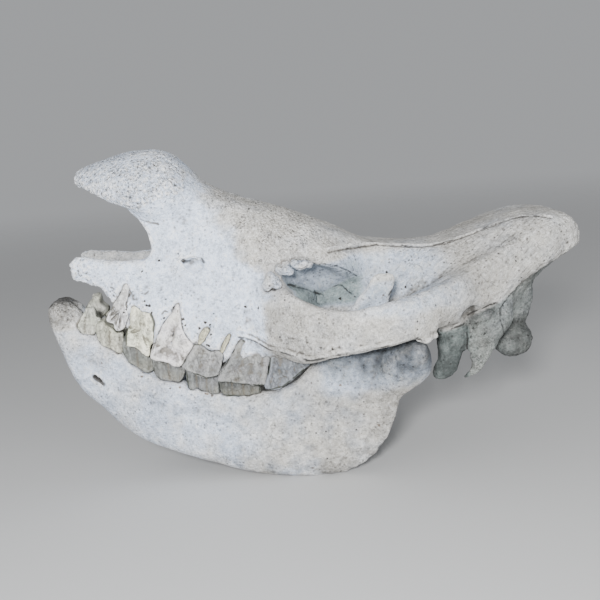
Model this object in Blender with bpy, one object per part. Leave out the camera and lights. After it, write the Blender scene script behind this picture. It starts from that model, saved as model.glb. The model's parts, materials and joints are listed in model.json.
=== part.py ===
"""Rhinoceros skull with its lower jaw, life size, lying as it rests on the curve of the jaw.

The nose points to -X, the left side of the animal to -Y and up is +Z. The origin is
under the middle of the skull, at the level that it rests on. Sizes in the tables are in
millimetres and are turned into metres once, where a form is made.
"""

import math
import random

import bmesh
import bpy
from mathutils import Matrix, Vector

MM = 0.001
GAP = 0.3 * MM  # between neighbouring bones

# Driving sizes of the skull.
LENGTH_OF_TABLES = 720.0  # nose tip to the back of the neck crest, as the tables are written
SKULL_LENGTH = 720.0
SCALE = SKULL_LENGTH / LENGTH_OF_TABLES * MM
REST_FLAT_DEPTH = 1.2  # how far the jaw's lower border is worn flat where it rests

# Fineness of the surface.
VOXEL = 4.0 * MM
RING_POINTS = 40
SPAN_STEPS = 5
CRANIUM_FACES = 5200
JAW_FACES = 1400
TOOTH_SIDES = 8
SEED = 5

BONE_COLOUR = (0.72, 0.71, 0.68, 1.0)


def remove_scene_objects():
    for obj in list(bpy.data.objects):
        bpy.data.objects.remove(obj, do_unlink=True)


def bone_material(name, colour, roughness):
    material = bpy.data.materials.new(name)
    material.use_nodes = True
    shader = material.node_tree.nodes["Principled BSDF"]
    shader.inputs["Base Color"].default_value = colour
    shader.inputs["Roughness"].default_value = roughness
    shader.inputs["Metallic"].default_value = 0.0
    return material


def curve_through(rows, steps, closed=False):
    """Rows of numbers on a smooth curve through the given rows, with a few steps between each two."""
    count = len(rows)
    spans = count if closed else count - 1
    out = []
    for i in range(spans):
        picks = [i - 1, i, i + 1, i + 2]
        if closed:
            a, b, c, d = (rows[k % count] for k in picks)
        else:
            a, b, c, d = (rows[min(max(k, 0), count - 1)] for k in picks)
        for step in range(steps):
            t = step / steps
            out.append([
                0.5 * (2 * q + (r - p) * t + (2 * p - 5 * q + 4 * r - s) * t * t
                       + (3 * q - p - 3 * r + s) * t ** 3)
                for p, q, r, s in zip(a, b, c, d)
            ])
    if not closed:
        out.append(list(rows[-1]))
    return out


def new_object(name, bm):
    bmesh.ops.recalc_face_normals(bm, faces=bm.faces[:])
    mesh = bpy.data.meshes.new(name)
    bm.to_mesh(mesh)
    bm.free()
    obj = bpy.data.objects.new(name, mesh)
    bpy.context.scene.collection.objects.link(obj)
    return obj


def loft(name, rings):
    """A closed form through rings of (x, y, z) in table millimetres, with capped ends."""
    bm = bmesh.new()
    loops = [[bm.verts.new(Vector(p) * SCALE) for p in ring] for ring in rings]
    count = len(loops[0])
    for one, two in zip(loops, loops[1:]):
        for i in range(count):
            j = (i + 1) % count
            bm.faces.new((one[i], one[j], two[j], two[i]))
    for loop, ring in ((loops[0], rings[0]), (loops[-1], rings[-1])):
        middle = bm.verts.new(Vector([sum(c) / count for c in zip(*ring)]) * SCALE)
        for i in range(count):
            bm.faces.new((loop[i], loop[(i + 1) % count], middle))
    return new_object(name, bm)


def mirrored(obj):
    """The same form on the other side of the skull."""
    bm = bmesh.new()
    bm.from_mesh(obj.data)
    bmesh.ops.scale(bm, vec=(1, -1, 1), verts=bm.verts[:])
    return new_object(obj.name + "_right", bm)


def oval(across, up, power, count=RING_POINTS):
    """Points of an oval, boxier as the power grows past 2."""
    points = []
    for i in range(count):
        angle = 2 * math.pi * i / count
        c, s = math.cos(angle), math.sin(angle)
        points.append((across * math.copysign(abs(c) ** (2 / power), c),
                       up * math.copysign(abs(s) ** (2 / power), s)))
    return points


def axis_loft(name, axis, stations, power=2.4, steps=SPAN_STEPS):
    """Ovals square to one axis. A station reads: place on the axis, the two middles across it
    and the two half sizes. Across x these are y then z, across y x then z, across z x then y.
    """
    rings = []
    for place, mid_a, mid_b, half_a, half_b in curve_through(stations, steps):
        ring = []
        for a, b in oval(max(half_a, 0.5), max(half_b, 0.5), power):
            a, b = a + mid_a, b + mid_b
            ring.append({"x": (place, a, b), "y": (a, place, b), "z": (a, b, place)}[axis])
        rings.append(ring)
    return loft(name, rings)


def path_loft(name, stations, power=2.4, steps=SPAN_STEPS):
    """Ovals along a path. Each station: x, y, z of the middle, half height and half thickness.

    The height stays upright, and the thickness is square to the path as seen from above.
    """
    rows = curve_through(stations, steps)
    rings = []
    for i, row in enumerate(rows):
        before, after = rows[max(i - 1, 0)], rows[min(i + 1, len(rows) - 1)]
        along = Vector((after[0] - before[0], after[1] - before[1], 0)).normalized()
        across = Vector((-along.y, along.x, 0))
        rings.append([
            tuple(Vector(row[:3]) + across * a + Vector((0, 0, b)))
            for a, b in oval(row[4], row[3], power)
        ])
    return loft(name, rings)


def body_loft(name, stations, steps=SPAN_STEPS):
    """The long middle form, alike on both sides. A station reads, in millimetres:

    x, top z, roof edge y and z, wall y and z, lower wall y and z, foot y and z, floor z
    """
    rings = []
    for row in curve_through(stations, steps):
        x, top, edge_y, edge_z, wall_y, wall_z, low_y, low_z, foot_y, foot_z, floor = row
        half = [
            (0.5 * edge_y, top - 0.15 * (top - edge_z)), (edge_y, edge_z), (wall_y, wall_z),
            (low_y, low_z), (foot_y, foot_z), (0.5 * foot_y, 0.5 * (foot_z + floor)),
        ]
        outline = [(0, top)] + half + [(0, floor)] + [(-y, z) for y, z in reversed(half)]
        rings.append([(x, y, z) for y, z in curve_through(outline, 4, closed=True)])
    return loft(name, rings)


def ball(name, middle, halves, turn=(0, 0, 0)):
    """An egg shape: its middle, its half sizes, and its turn in degrees about x, y and z."""
    bm = bmesh.new()
    bmesh.ops.create_icosphere(bm, subdivisions=4, radius=1)
    bmesh.ops.scale(bm, vec=Vector(halves) * SCALE, verts=bm.verts[:])
    obj = new_object(name, bm)
    obj.rotation_euler = [math.radians(angle) for angle in turn]
    obj.location = Vector(middle) * SCALE
    bpy.context.view_layer.update()
    obj.data.transform(obj.matrix_world)
    obj.matrix_world.identity()
    return obj


def prism(name, axis, outline, low, high):
    """A flat outline carried along one axis: (x, z) points along y, or (x, y) points along z."""
    bm = bmesh.new()
    ends = []
    for place in (low, high):
        points = [(a, place, b) if axis == "y" else (a, b, place) for a, b in outline]
        ends.append([bm.verts.new(Vector(p) * SCALE) for p in points])
    near, far = ends
    bm.faces.new(near)
    bm.faces.new(far[::-1])
    for i in range(len(outline)):
        j = (i + 1) % len(outline)
        bm.faces.new((near[i], far[i], far[j], near[j]))
    bmesh.ops.triangulate(bm, faces=bm.faces[:])
    return new_object(name, bm)


def settle(obj):
    """Applies the object's modifiers to its mesh."""
    bpy.context.view_layer.update()
    graph = bpy.context.evaluated_depsgraph_get()
    mesh = bpy.data.meshes.new_from_object(obj.evaluated_get(graph))
    obj.modifiers.clear()
    obj.data = mesh
    return obj


def join(name, objects):
    """One object that holds the shells of several, which are then removed."""
    bm = bmesh.new()
    for obj in objects:
        bm.from_mesh(obj.data)
        bpy.data.objects.remove(obj, do_unlink=True)
    return new_object(name, bm)


def remesh(obj, voxel, smooth_rounds, factor=0.5):
    """Melts overlapping shells into one skin and softens its creases."""
    skin = obj.modifiers.new("skin", "REMESH")
    skin.mode = "VOXEL"
    skin.voxel_size = voxel
    skin.adaptivity = 0.0
    if smooth_rounds:
        soften = obj.modifiers.new("soften", "SMOOTH")
        soften.factor = factor
        soften.iterations = smooth_rounds
    return settle(obj)


def cut(obj, cutters):
    """Takes each cutter away from the object, and removes the cutters."""
    for cutter in cutters:
        cutter.hide_render = True
        cutter.display_type = "WIRE"
        step = obj.modifiers.new("cut", "BOOLEAN")
        step.operation = "DIFFERENCE"
        step.solver = "MANIFOLD"
        step.object = cutter
    settle(obj)
    for cutter in cutters:
        bpy.data.objects.remove(cutter, do_unlink=True)
    return obj


def thin_out(obj, faces):
    """Lowers the number of triangles to about the one given."""
    fewer = obj.modifiers.new("fewer", "DECIMATE")
    fewer.ratio = faces / sum(len(face.vertices) - 2 for face in obj.data.polygons)
    fewer.use_collapse_triangulate = True
    return settle(obj)


def keep_largest(obj):
    """Drops every closed surface of the object but the largest."""
    bm = bmesh.new()
    bm.from_mesh(obj.data)
    unseen = set(bm.verts)
    shells = []
    while unseen:
        stack = [unseen.pop()]
        shell = set(stack)
        while stack:
            for edge in stack.pop().link_edges:
                for vert in edge.verts:
                    if vert in unseen:
                        unseen.discard(vert)
                        shell.add(vert)
                        stack.append(vert)
        shells.append(shell)
    largest = max(shells, key=len)
    bmesh.ops.delete(bm, geom=[v for v in bm.verts if v not in largest], context="VERTS")
    bm.to_mesh(obj.data)
    bm.free()


# The long middle form from the back of the nose opening to the neck crest.
# x, top z, roof edge y z, wall y z, lower wall y z, foot y z, floor z
MIDDLE = [
    (-246, 440, 46, 430, 58, 385, 58, 320, 72, 262, 272),
    (-205, 452, 58, 436, 64, 385, 65, 310, 84, 230, 250),
    (-165, 444, 62, 424, 69, 370, 74, 295, 92, 196, 226),
    (-125, 418, 66, 402, 82, 350, 87, 275, 97, 180, 212),
    (-85, 401, 70, 386, 96, 334, 99, 262, 98, 170, 204),
    (-45, 387, 72, 370, 106, 316, 107, 256, 96, 168, 204),
    (-12, 374, 66, 360, 106, 312, 92, 260, 88, 176, 210),
    (18, 361, 60, 348, 102, 306, 58, 268, 54, 220, 218),
    (45, 348, 56, 337, 92, 299, 57, 268, 50, 222, 212),
    (70, 335, 52, 327, 74, 288, 56, 258, 45, 214, 204),
    (95, 324, 48, 318, 58, 288, 56, 248, 42, 206, 197),
    (145, 316, 42, 313, 62, 286, 66, 240, 42, 192, 184),
    (200, 318, 50, 312, 88, 285, 94, 238, 50, 178, 168),
    (250, 330, 62, 324, 98, 294, 102, 246, 58, 172, 154),
    (290, 343, 76, 335, 102, 308, 100, 258, 56, 196, 178),
    (320, 350, 86, 341, 106, 322, 100, 278, 60, 238, 232),
    (352, 351, 92, 343, 106, 322, 100, 286, 60, 272, 268),
    (378, 344, 88, 338, 100, 318, 94, 296, 46, 290, 290),
    (391, 333, 72, 328, 84, 314, 78, 300, 34, 302, 302),
]

# The rough nose boss that carries the front horn.
# x, top z, roof edge y z, wall y z, lower wall y z, foot y z, floor z
BOSS = [
    (-322, 452, 14, 450, 20, 444, 20, 440, 14, 438, 440),
    (-314, 459, 28, 454, 40, 444, 42, 436, 34, 432, 438),
    (-295, 466, 40, 458, 56, 440, 58, 428, 44, 424, 436),
    (-268, 473, 50, 462, 70, 438, 70, 414, 54, 412, 434),
    (-240, 479, 54, 468, 82, 438, 78, 404, 60, 400, 430),
    (-210, 480, 56, 470, 86, 436, 80, 398, 60, 380, 400),
    (-184, 472, 54, 462, 84, 430, 76, 396, 58, 376, 380),
    (-164, 455, 50, 446, 74, 420, 70, 394, 56, 376, 376),
    (-140, 428, 44, 420, 62, 402, 64, 386, 50, 374, 374),
]


def cranium_forms():
    """The closed forms that melt into the upper skull."""
    middle = [body_loft("middle", MIDDLE), body_loft("boss", BOSS)]
    side = [
        # Wall of the upper jaw that runs forward under the nose opening.
        path_loft("front_wall", [
            (-340, -38, 317, 13, 6), (-330, -40, 320, 20, 8), (-300, -46, 312, 23, 9),
            (-270, -52, 302, 29, 10), (-235, -56, 292, 34, 11), (-200, -58, 285, 40, 11),
        ], power=3),
        # Floor of the nose and palate in front of the cheek teeth.
        axis_loft("palate_front", "x", [
            (-296, -24, 284, 24, 6), (-270, -26, 276, 30, 8), (-230, -30, 266, 36, 10),
            (-200, -32, 256, 40, 12),
        ]),
        # Cheek bone from the upper jaw to the jaw joint.
        path_loft("cheek", [
            (-84, -84, 232, 40, 16), (-50, -110, 232, 50, 18), (-20, -136, 221, 48, 15),
            (12, -156, 217, 36, 12), (50, -171, 220, 31, 11), (92, -176, 226, 31, 12),
            (126, -169, 230, 29, 15), (158, -148, 234, 28, 20),
        ], power=3.2),
        # Broad root of the cheek bone over the jaw joint.
        axis_loft("joint_root", "x", [
            (114, -122, 220, 28, 9), (130, -120, 224, 50, 20), (160, -112, 230, 52, 27),
            (190, -100, 236, 46, 32), (216, -92, 238, 38, 34), (236, -88, 238, 28, 30),
        ]),
        # Plate over the ear, from the root of the cheek bone up to the neck crest.
        path_loft("ear_plate", [
            (146, -136, 232, 26, 21), (176, -123, 240, 28, 25), (206, -111, 250, 31, 26),
            (240, -104, 262, 34, 24), (274, -100, 275, 36, 21), (306, -98, 292, 34, 18),
            (340, -97, 307, 27, 16), (366, -90, 317, 21, 14),
        ], power=2.8),
        # Bone that holds the roots of the upper teeth.
        path_loft("upper_tooth_bed", [
            (-284, -50, 264, 16, 9), (-252, -60, 243, 24, 13), (-220, -68, 224, 28, 15),
            (-180, -72, 202, 26, 17), (-140, -73, 190, 20, 17), (-100, -74, 184, 18, 17),
            (-60, -74, 182, 16, 15),
        ]),
        # Small knob at the outer end of the jaw joint.
        ball("joint_knob", (138, -156, 203), (13, 12, 12)),
        # Strong spike behind the jaw joint.
        axis_loft("joint_spike", "z", [
            (214, 198, -92, 28, 22), (190, 196, -94, 22, 19), (168, 193, -96, 19, 17),
            (150, 190, -97, 18, 15), (134, 182, -97, 19, 13), (125, 178, -96, 13, 9),
            (120, 175, -96, 6, 5),
        ]),
        # Bone behind the ear and the spike that hangs from it.
        axis_loft("ear_back", "x", [
            (234, -90, 203, 16, 18), (250, -98, 206, 20, 34), (268, -96, 216, 20, 38),
            (288, -86, 230, 16, 34),
        ]),
        axis_loft("ear_spike", "z", [
            (202, 250, -100, 24, 19), (184, 247, -98, 26, 16), (166, 240, -95, 23, 13),
            (152, 237, -93, 17, 11), (139, 235, -92, 11, 9), (128, 228, -91, 11, 8),
            (119, 215, -90, 10, 7), (115, 209, -90, 5, 4),
        ]),
        # One of the two knobs that carried the skull on the neck.
        ball("neck_knob", (300, -46, 157), (30, 28, 25), (0, -18, 0)),
        # Small knobs on the rim of the eye.
        ball("eye_knob_upper", (-36, -103, 303), (14, 9, 8), (0, 10, 0)),
        ball("eye_knob_lower", (-54, -111, 291), (10, 8, 12), (0, -20, 0)),
        # Thin plate behind the palate.
        path_loft("wing_plate", [
            (-70, -36, 205, 22, 6), (-30, -34, 200, 26, 5), (10, -32, 196, 26, 5),
            (50, -32, 192, 24, 5), (78, -34, 190, 16, 4),
        ]),
    ]
    centre = [
        # Back of the skull round the hole of the spinal cord.
        axis_loft("back_block", "z", [
            (262, 304, 0, 26, 66), (240, 303, 0, 33, 64), (215, 302, 0, 34, 62),
            (190, 296, 0, 33, 58), (165, 280, 0, 32, 50), (146, 272, 0, 24, 40),
        ], power=3),
    ]
    return middle + centre + side + [mirrored(form) for form in side]


def cranium_cutters():
    """What is open in the upper skull."""
    # The gap under the nose, as the side view shows it.
    notch = [
        (-420, 344), (-324, 341), (-303, 335), (-232, 327), (-223, 333), (-220, 346),
        (-224, 366), (-233, 383), (-246, 398), (-268, 410), (-290, 423), (-312, 437), (-420, 440),
    ]
    cutters = [
        prism("nose_gap", "y", notch, -130, 130),
        axis_loft("nose_hollow", "x", [
            (-340, 0, 372, 30, 70), (-290, 0, 368, 38, 66), (-240, 0, 357, 46, 76),
            (-200, 0, 350, 49, 78), (-160, 0, 340, 47, 70), (-120, 0, 330, 38, 52),
            (-95, 0, 324, 20, 26),
        ], power=2.8),
        axis_loft("cord_hole", "x", [
            (346, 0, 180, 28, 26), (300, 0, 178, 26, 25), (262, 0, 180, 23, 22),
            (240, 0, 184, 12, 12),
        ], power=2),
        # Shallow notch in the middle of the neck crest.
        ball("crest_notch", (414, 0, 318), (32, 40, 36)),
        axis_loft("throat", "x", [
            (-130, 0, 204, 18, 10), (-90, 0, 196, 26, 20), (-40, 0, 190, 28, 24),
            (40, 0, 176, 28, 26), (120, 0, 150, 30, 24),
        ]),
    ]
    side = [
        ball("eye_hollow", (14, -128, 279), (62, 71, 27), (0, 19, 0)),
        axis_loft("nerve_hole", "y", [
            (-96, -163, 320, 12, 9), (-76, -161, 321, 12, 9), (-62, -156, 322, 8, 7),
        ], power=2),
        ball("ear_hollow", (222, -134, 212), (20, 30, 21), (0, 15, 0)),
    ]
    return cutters + side + [mirrored(cutter) for cutter in side]


def jaw_forms():
    """The closed forms that melt into the lower jaw, both halves."""
    side = [
        axis_loft("jaw_body", "x", [
            (-383, -14, 255, 15, 10), (-369, -17, 231, 20, 42), (-349, -18, 203, 23, 64),
            (-323, -20, 173, 24, 63), (-296, -25, 147, 26, 67), (-262, -35, 122, 26, 67),
            (-228, -45, 101, 26, 61), (-184, -57, 82, 26, 55), (-136, -68, 68, 26, 57),
            (-96, -77, 63, 26, 62), (-56, -87, 62, 25, 66), (-20, -95, 72, 22, 77),
            (14, -102, 94, 19, 98), (42, -107, 114, 16, 110), (64, -111, 122, 15, 105),
            (84, -114, 128, 14, 88), (98, -116, 133, 13, 72), (112, -117, 148, 9, 46),
        ], power=2.6),
        axis_loft("jaw_blade", "z", [
            (160, 58, -114, 48, 9), (200, 64, -118, 42, 8), (228, 73, -120, 33, 7),
            (252, 82, -121, 26, 6.5), (268, 93, -121, 22, 6), (281, 99, -121, 19, 5.5),
            (289, 101, -121, 13, 4),
        ], power=2.6),
        # Ledge that holds the lower teeth, a little prouder than they are at its rim.
        path_loft("lower_tooth_ledge", [
            (-344, -32, 214, 17, 12), (-316, -36, 205, 19, 13), (-296, -42, 182, 20, 13),
            (-276, -47, 172, 22, 13), (-250, -55, 148, 20, 13), (-228, -61, 137, 20, 14),
            (-200, -67, 130, 20, 15), (-172, -71, 121, 19, 15), (-144, -74, 110, 19, 15),
            (-112, -78, 106, 18, 14), (-80, -82, 105, 18, 12),
        ], power=3.2),
        axis_loft("jaw_neck", "z", [
            (96, 84, -116, 20, 14), (112, 92, -117, 27, 15), (124, 104, -119, 34, 18),
            (138, 117, -122, 38, 23), (152, 121, -124, 39, 27), (168, 122, -124, 36, 30),
            (180, 126, -122, 29, 33), (190, 132, -120, 18, 34),
        ]),
        axis_loft("jaw_roller", "y", [
            (-157, 138, 172, 8, 9), (-149, 137, 175, 15, 15), (-120, 136, 179, 17, 14),
            (-88, 134, 178, 15, 13), (-78, 133, 176, 8, 8),
        ]),
    ]
    return side + [mirrored(form) for form in side]


# Each tooth as x and z of: the biting edge at its front and at its back, the neck at its
# front and at its back, and the root end. Then the outer y and the inner y.
UPPER_TEETH = [
    ((-290, 243), (-269, 233), (-292, 256), (-261, 258), (-256, 290), -70, -40),
    ((-270, 213), (-238, 190), (-266, 255), (-220, 248), (-236, 282), -84, -44),
    ((-240, 200), (-190, 171), (-220, 228), (-172, 205), (-190, 258), -92, -44),
    ((-194, 176), (-141, 155), (-188, 196), (-130, 188), (-158, 220), -97, -46),
    ((-145, 152), (-77, 136), (-132, 182), (-64, 176), (-98, 206), -101, -46),
    ((-80, 135), (-50, 130), (-68, 172), (-12, 163), (-40, 196), -99, -48),
]
LOWER_TEETH = [
    ((-338, 254), (-311, 252), (-340, 230), (-311, 228), (-322, 205), -42, -18),
    ((-313, 240), (-273, 222), (-312, 219), (-273, 196), (-288, 178), -54, -26),
    ((-275, 213), (-234, 189), (-274, 186), (-234, 165), (-250, 148), -64, -36),
    ((-236, 190), (-187, 169), (-236, 166), (-187, 146), (-208, 126), -76, -44),
    ((-189, 165), (-142, 154), (-190, 140), (-142, 127), (-162, 110), -82, -50),
    ((-147, 149), (-84, 137), (-147, 127), (-84, 123), (-112, 102), -86, -54),
]
BITE_SLOPE = 0.4  # rise of the biting edge for each millimetre towards the tongue
RIGHT_FRONT_RISE = 8  # how far the first lower tooth on the right has come out of its bone


def tooth(name, size, draw):
    """One cheek tooth: a biting end, a wide neck and a root that narrows inside the bone."""
    bite_front, bite_back, neck_front, neck_back, root, outer, inner = size
    across = 0.5 * (outer + inner)
    half_wide = 0.5 * abs(outer - inner)
    root_half = 0.3 * (neck_back[0] - neck_front[0])
    levels = [
        (bite_front, bite_back, 0.96, BITE_SLOPE), (neck_front, neck_back, 1.0, 0),
        ((root[0] - root_half, root[1]), (root[0] + root_half, root[1]), 0.6, 0),
    ]
    rings = []
    for front, back, grow, slope in levels:
        ring = []
        for a, b in oval(1, 1, 3.2, TOOTH_SIDES):
            along = (a + 1) / 2
            ring.append((
                front[0] + (back[0] - front[0]) * along + draw.uniform(-0.6, 0.6),
                across + b * half_wide * grow + draw.uniform(-0.6, 0.6),
                front[1] + (back[1] - front[1]) * along + (b + 1) * half_wide * slope,
            ))
        rings.append(ring)
    return loft(name, rings)


def teeth(name, sizes, side, draw):
    """A row of cheek teeth on one side of the skull."""
    row = []
    for i, size in enumerate(sizes):
        if sizes is LOWER_TEETH and side == "right" and i == 0:
            size = tuple((x, z + RIGHT_FRONT_RISE) for x, z in size[:4]) + size[4:]
        made = tooth(f"{name}_{i + 1}", size, draw)
        if side == "right":
            other = mirrored(made)
            bpy.data.objects.remove(made, do_unlink=True)
            made = other
        row.append(made)
    return row


def fuse(obj, pieces):
    """Joins pieces to the bone that they grow from, then removes them."""
    group = bpy.data.collections.new(obj.name + "_pieces")
    for piece in pieces:
        group.objects.link(piece)
    step = obj.modifiers.new("fuse", "BOOLEAN")
    step.operation = "UNION"
    step.solver = "MANIFOLD"
    step.operand_type = "COLLECTION"
    step.collection = group
    settle(obj)
    for piece in pieces:
        bpy.data.objects.remove(piece, do_unlink=True)
    bpy.data.collections.remove(group)
    keep_largest(obj)


# Where the bones part. A slanting seam, as the side view shows it, runs from the nose
# opening to the eye. The rest are upright planes at one x or one y.
SEAM = ((-420, 392), (12, 292))
NOSE_BACK = -112
EYE_MIDDLE = 12
FRONTAL_BACK = 92
NECK_FRONT = 262
EAR_BACK = 290
ARCH_FRONT = -80
ARCH_BACK = 218
ARCH_INNER = -112
EAR_INNER = -70
FAR = 600  # past the skull on every side


def seam_z(x):
    """Height of the slanting seam at one x."""
    (x0, z0), (x1, z1) = SEAM
    return z0 + (z1 - z0) * (x - x0) / (x1 - x0)


def inset(outline, by):
    """The outline drawn in by a small width on every side."""
    area = sum(a[0] * b[1] - b[0] * a[1] for a, b in zip(outline, outline[1:] + outline[:1]))
    turn = 1 if area > 0 else -1
    out = []
    for before, here, after in zip(outline[-1:] + outline[:-1], outline, outline[1:] + outline[:1]):
        one = (Vector(here) - Vector(before)).normalized()
        two = (Vector(after) - Vector(here)).normalized()
        normal_one = Vector((-one.y, one.x)) * turn
        normal_two = Vector((-two.y, two.x)) * turn
        lean = (normal_one + normal_two).normalized()
        out.append(tuple(Vector(here) + lean * (by / lean.dot(normal_one))))
    return out


def bone_regions():
    """Name, axis, outline and range of the space that each bone of the upper skull takes."""
    nose = [(-FAR, seam_z(-FAR)), (NOSE_BACK, seam_z(NOSE_BACK)), (NOSE_BACK, FAR), (-FAR, FAR)]
    jaw = [(-FAR, -FAR), (EYE_MIDDLE, -FAR), (EYE_MIDDLE, seam_z(EYE_MIDDLE)), (-FAR, seam_z(-FAR))]
    frontal = [
        (NOSE_BACK, seam_z(NOSE_BACK)), (EYE_MIDDLE, seam_z(EYE_MIDDLE)), (EYE_MIDDLE, -FAR),
        (FRONTAL_BACK, -FAR), (FRONTAL_BACK, FAR), (NOSE_BACK, FAR),
    ]
    arch = [
        (ARCH_FRONT, ARCH_INNER), (ARCH_FRONT, -FAR), (ARCH_BACK, -FAR), (ARCH_BACK, ARCH_INNER),
    ]
    temporal = [
        (FRONTAL_BACK, ARCH_INNER), (ARCH_BACK, ARCH_INNER), (ARCH_BACK, -FAR), (EAR_BACK, -FAR),
        (EAR_BACK, EAR_INNER), (FRONTAL_BACK, EAR_INNER),
    ]
    braincase = [
        (FRONTAL_BACK, EAR_INNER), (NECK_FRONT, EAR_INNER), (NECK_FRONT, -EAR_INNER),
        (FRONTAL_BACK, -EAR_INNER),
    ]
    occiput = [
        (NECK_FRONT, EAR_INNER), (EAR_BACK, EAR_INNER), (EAR_BACK, -FAR), (FAR, -FAR), (FAR, FAR),
        (EAR_BACK, FAR), (EAR_BACK, -EAR_INNER), (NECK_FRONT, -EAR_INNER),
    ]

    def other(outline):
        return [(x, -y) for x, y in outline]

    return [
        ("nasal_left", "y", nose, -FAR, 0), ("nasal_right", "y", nose, 0, FAR),
        ("maxilla_left", "y", jaw, ARCH_INNER, 0), ("maxilla_right", "y", jaw, 0, -ARCH_INNER),
        ("frontal", "y", frontal, ARCH_INNER, -ARCH_INNER),
        ("zygomatic_arch_left", "z", arch, -FAR, FAR),
        ("zygomatic_arch_right", "z", other(arch), -FAR, FAR),
        ("temporal_left", "z", temporal, -FAR, FAR),
        ("temporal_right", "z", other(temporal), -FAR, FAR),
        ("braincase", "z", braincase, -FAR, FAR),
        ("occiput", "z", occiput, -FAR, FAR),
    ]


def part_off(whole, name, axis, outline, low, high, material):
    """The piece of a whole form that lies inside one region, with half the gap left around it."""
    half = 0.5 * GAP / SCALE
    region = prism(name + "_region", axis, inset(outline, half), low + half, high - half)
    bone = whole.copy()
    bone.data = whole.data.copy()
    bone.name = name
    bpy.context.scene.collection.objects.link(bone)
    step = bone.modifiers.new("part", "BOOLEAN")
    step.operation = "INTERSECT"
    step.solver = "MANIFOLD"
    step.object = region
    settle(bone)
    bpy.data.objects.remove(region, do_unlink=True)
    keep_largest(bone)
    bone.data.name = name
    bone.data.materials.clear()
    bone.data.materials.append(material)
    return bone


def centred(objects):
    """Moves all so that the middle of the box around them is over the origin, resting at z 0."""
    corners = [Vector(corner) for obj in objects for corner in obj.bound_box]
    low = Vector([min(corner[i] for corner in corners) for i in range(3)])
    high = Vector([max(corner[i] for corner in corners) for i in range(3)])
    shift = Vector((-(low.x + high.x) / 2, -(low.y + high.y) / 2, -low.z))
    for obj in objects:
        obj.data.transform(Matrix.Translation(shift))


def main():
    remove_scene_objects()
    draw = random.Random(SEED)
    bone = bone_material("bone", BONE_COLOUR, 0.75)

    cranium = join("cranium", cranium_forms())
    remesh(cranium, VOXEL, 8)
    cut(cranium, cranium_cutters())
    remesh(cranium, VOXEL, 3)
    thin_out(cranium, CRANIUM_FACES)
    bones = [part_off(cranium, *region, bone) for region in bone_regions()]
    bpy.data.objects.remove(cranium, do_unlink=True)

    jaw = join("jaw", jaw_forms())
    remesh(jaw, VOXEL, 8)
    thin_out(jaw, 2 * JAW_FACES)
    lowest = min(vert.co.z for vert in jaw.data.vertices) / SCALE + REST_FLAT_DEPTH
    upright = [(-FAR, lowest), (FAR, lowest), (FAR, FAR), (-FAR, FAR)]
    for name, low, high in (("mandible_left", -FAR, 0), ("mandible_right", 0, FAR)):
        bones.append(part_off(jaw, name, "y", upright, low, high, bone))
    bpy.data.objects.remove(jaw, do_unlink=True)

    for obj in bones:
        side = obj.name.rsplit("_", 1)[-1]
        if obj.name.startswith("maxilla"):
            fuse(obj, teeth("upper_tooth", UPPER_TEETH, side, draw))
        if obj.name.startswith("mandible"):
            fuse(obj, teeth("lower_tooth", LOWER_TEETH, side, draw))
        obj.data.shade_smooth()
        obj.data.set_sharp_from_angle(angle=math.radians(45))
    centred(bones)


main()
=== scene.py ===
"""Rhinoceros skull with its lower jaw: the dressed model and its studio, as a Blender add-on.

The nose points to -X, the left side of the animal to -Y and up is +Z. Sizes in the tables are
in millimetres, in the tables' own frame, and SHIFT carries them to the frame of the solids.
"""

import json
import math

import bmesh
import bpy
import numpy as np
from bpy.props import FloatProperty, FloatVectorProperty, IntProperty, PointerProperty
from mathutils import Matrix, Vector
from mathutils.bvhtree import BVHTree
from mathutils.kdtree import KDTree

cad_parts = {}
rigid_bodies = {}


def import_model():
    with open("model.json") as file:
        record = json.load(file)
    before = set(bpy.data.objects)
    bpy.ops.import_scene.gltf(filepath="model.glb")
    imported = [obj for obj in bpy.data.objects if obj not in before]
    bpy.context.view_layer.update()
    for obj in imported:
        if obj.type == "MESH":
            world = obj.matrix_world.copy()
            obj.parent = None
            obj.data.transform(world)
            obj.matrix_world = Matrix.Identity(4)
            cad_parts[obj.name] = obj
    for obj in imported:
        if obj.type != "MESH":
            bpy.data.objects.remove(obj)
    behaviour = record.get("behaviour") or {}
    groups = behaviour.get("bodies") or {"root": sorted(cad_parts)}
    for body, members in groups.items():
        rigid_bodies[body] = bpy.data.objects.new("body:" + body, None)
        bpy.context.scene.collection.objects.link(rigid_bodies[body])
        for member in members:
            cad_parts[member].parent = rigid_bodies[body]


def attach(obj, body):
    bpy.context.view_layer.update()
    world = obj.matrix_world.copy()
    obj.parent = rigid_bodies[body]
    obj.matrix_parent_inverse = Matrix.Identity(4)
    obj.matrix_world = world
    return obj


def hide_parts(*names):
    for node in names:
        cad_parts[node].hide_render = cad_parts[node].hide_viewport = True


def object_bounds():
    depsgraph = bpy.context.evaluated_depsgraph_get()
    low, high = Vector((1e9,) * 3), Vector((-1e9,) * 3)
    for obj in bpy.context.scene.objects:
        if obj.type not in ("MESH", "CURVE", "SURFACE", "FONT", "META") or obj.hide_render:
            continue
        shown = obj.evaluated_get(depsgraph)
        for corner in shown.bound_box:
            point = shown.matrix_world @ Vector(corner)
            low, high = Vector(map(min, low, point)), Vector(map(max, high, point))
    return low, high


bl_info = {
    "name": "Rhinoceros Skull",
    "version": (1, 0, 0),
    "blender": (4, 5, 0),
    "location": "View3D > Sidebar > Skull",
    "description": "Makes a life-size rhinoceros skull with its jaw, its teeth and a plain studio",
    "category": "Add Mesh",
}

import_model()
CAD_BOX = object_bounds()

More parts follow.
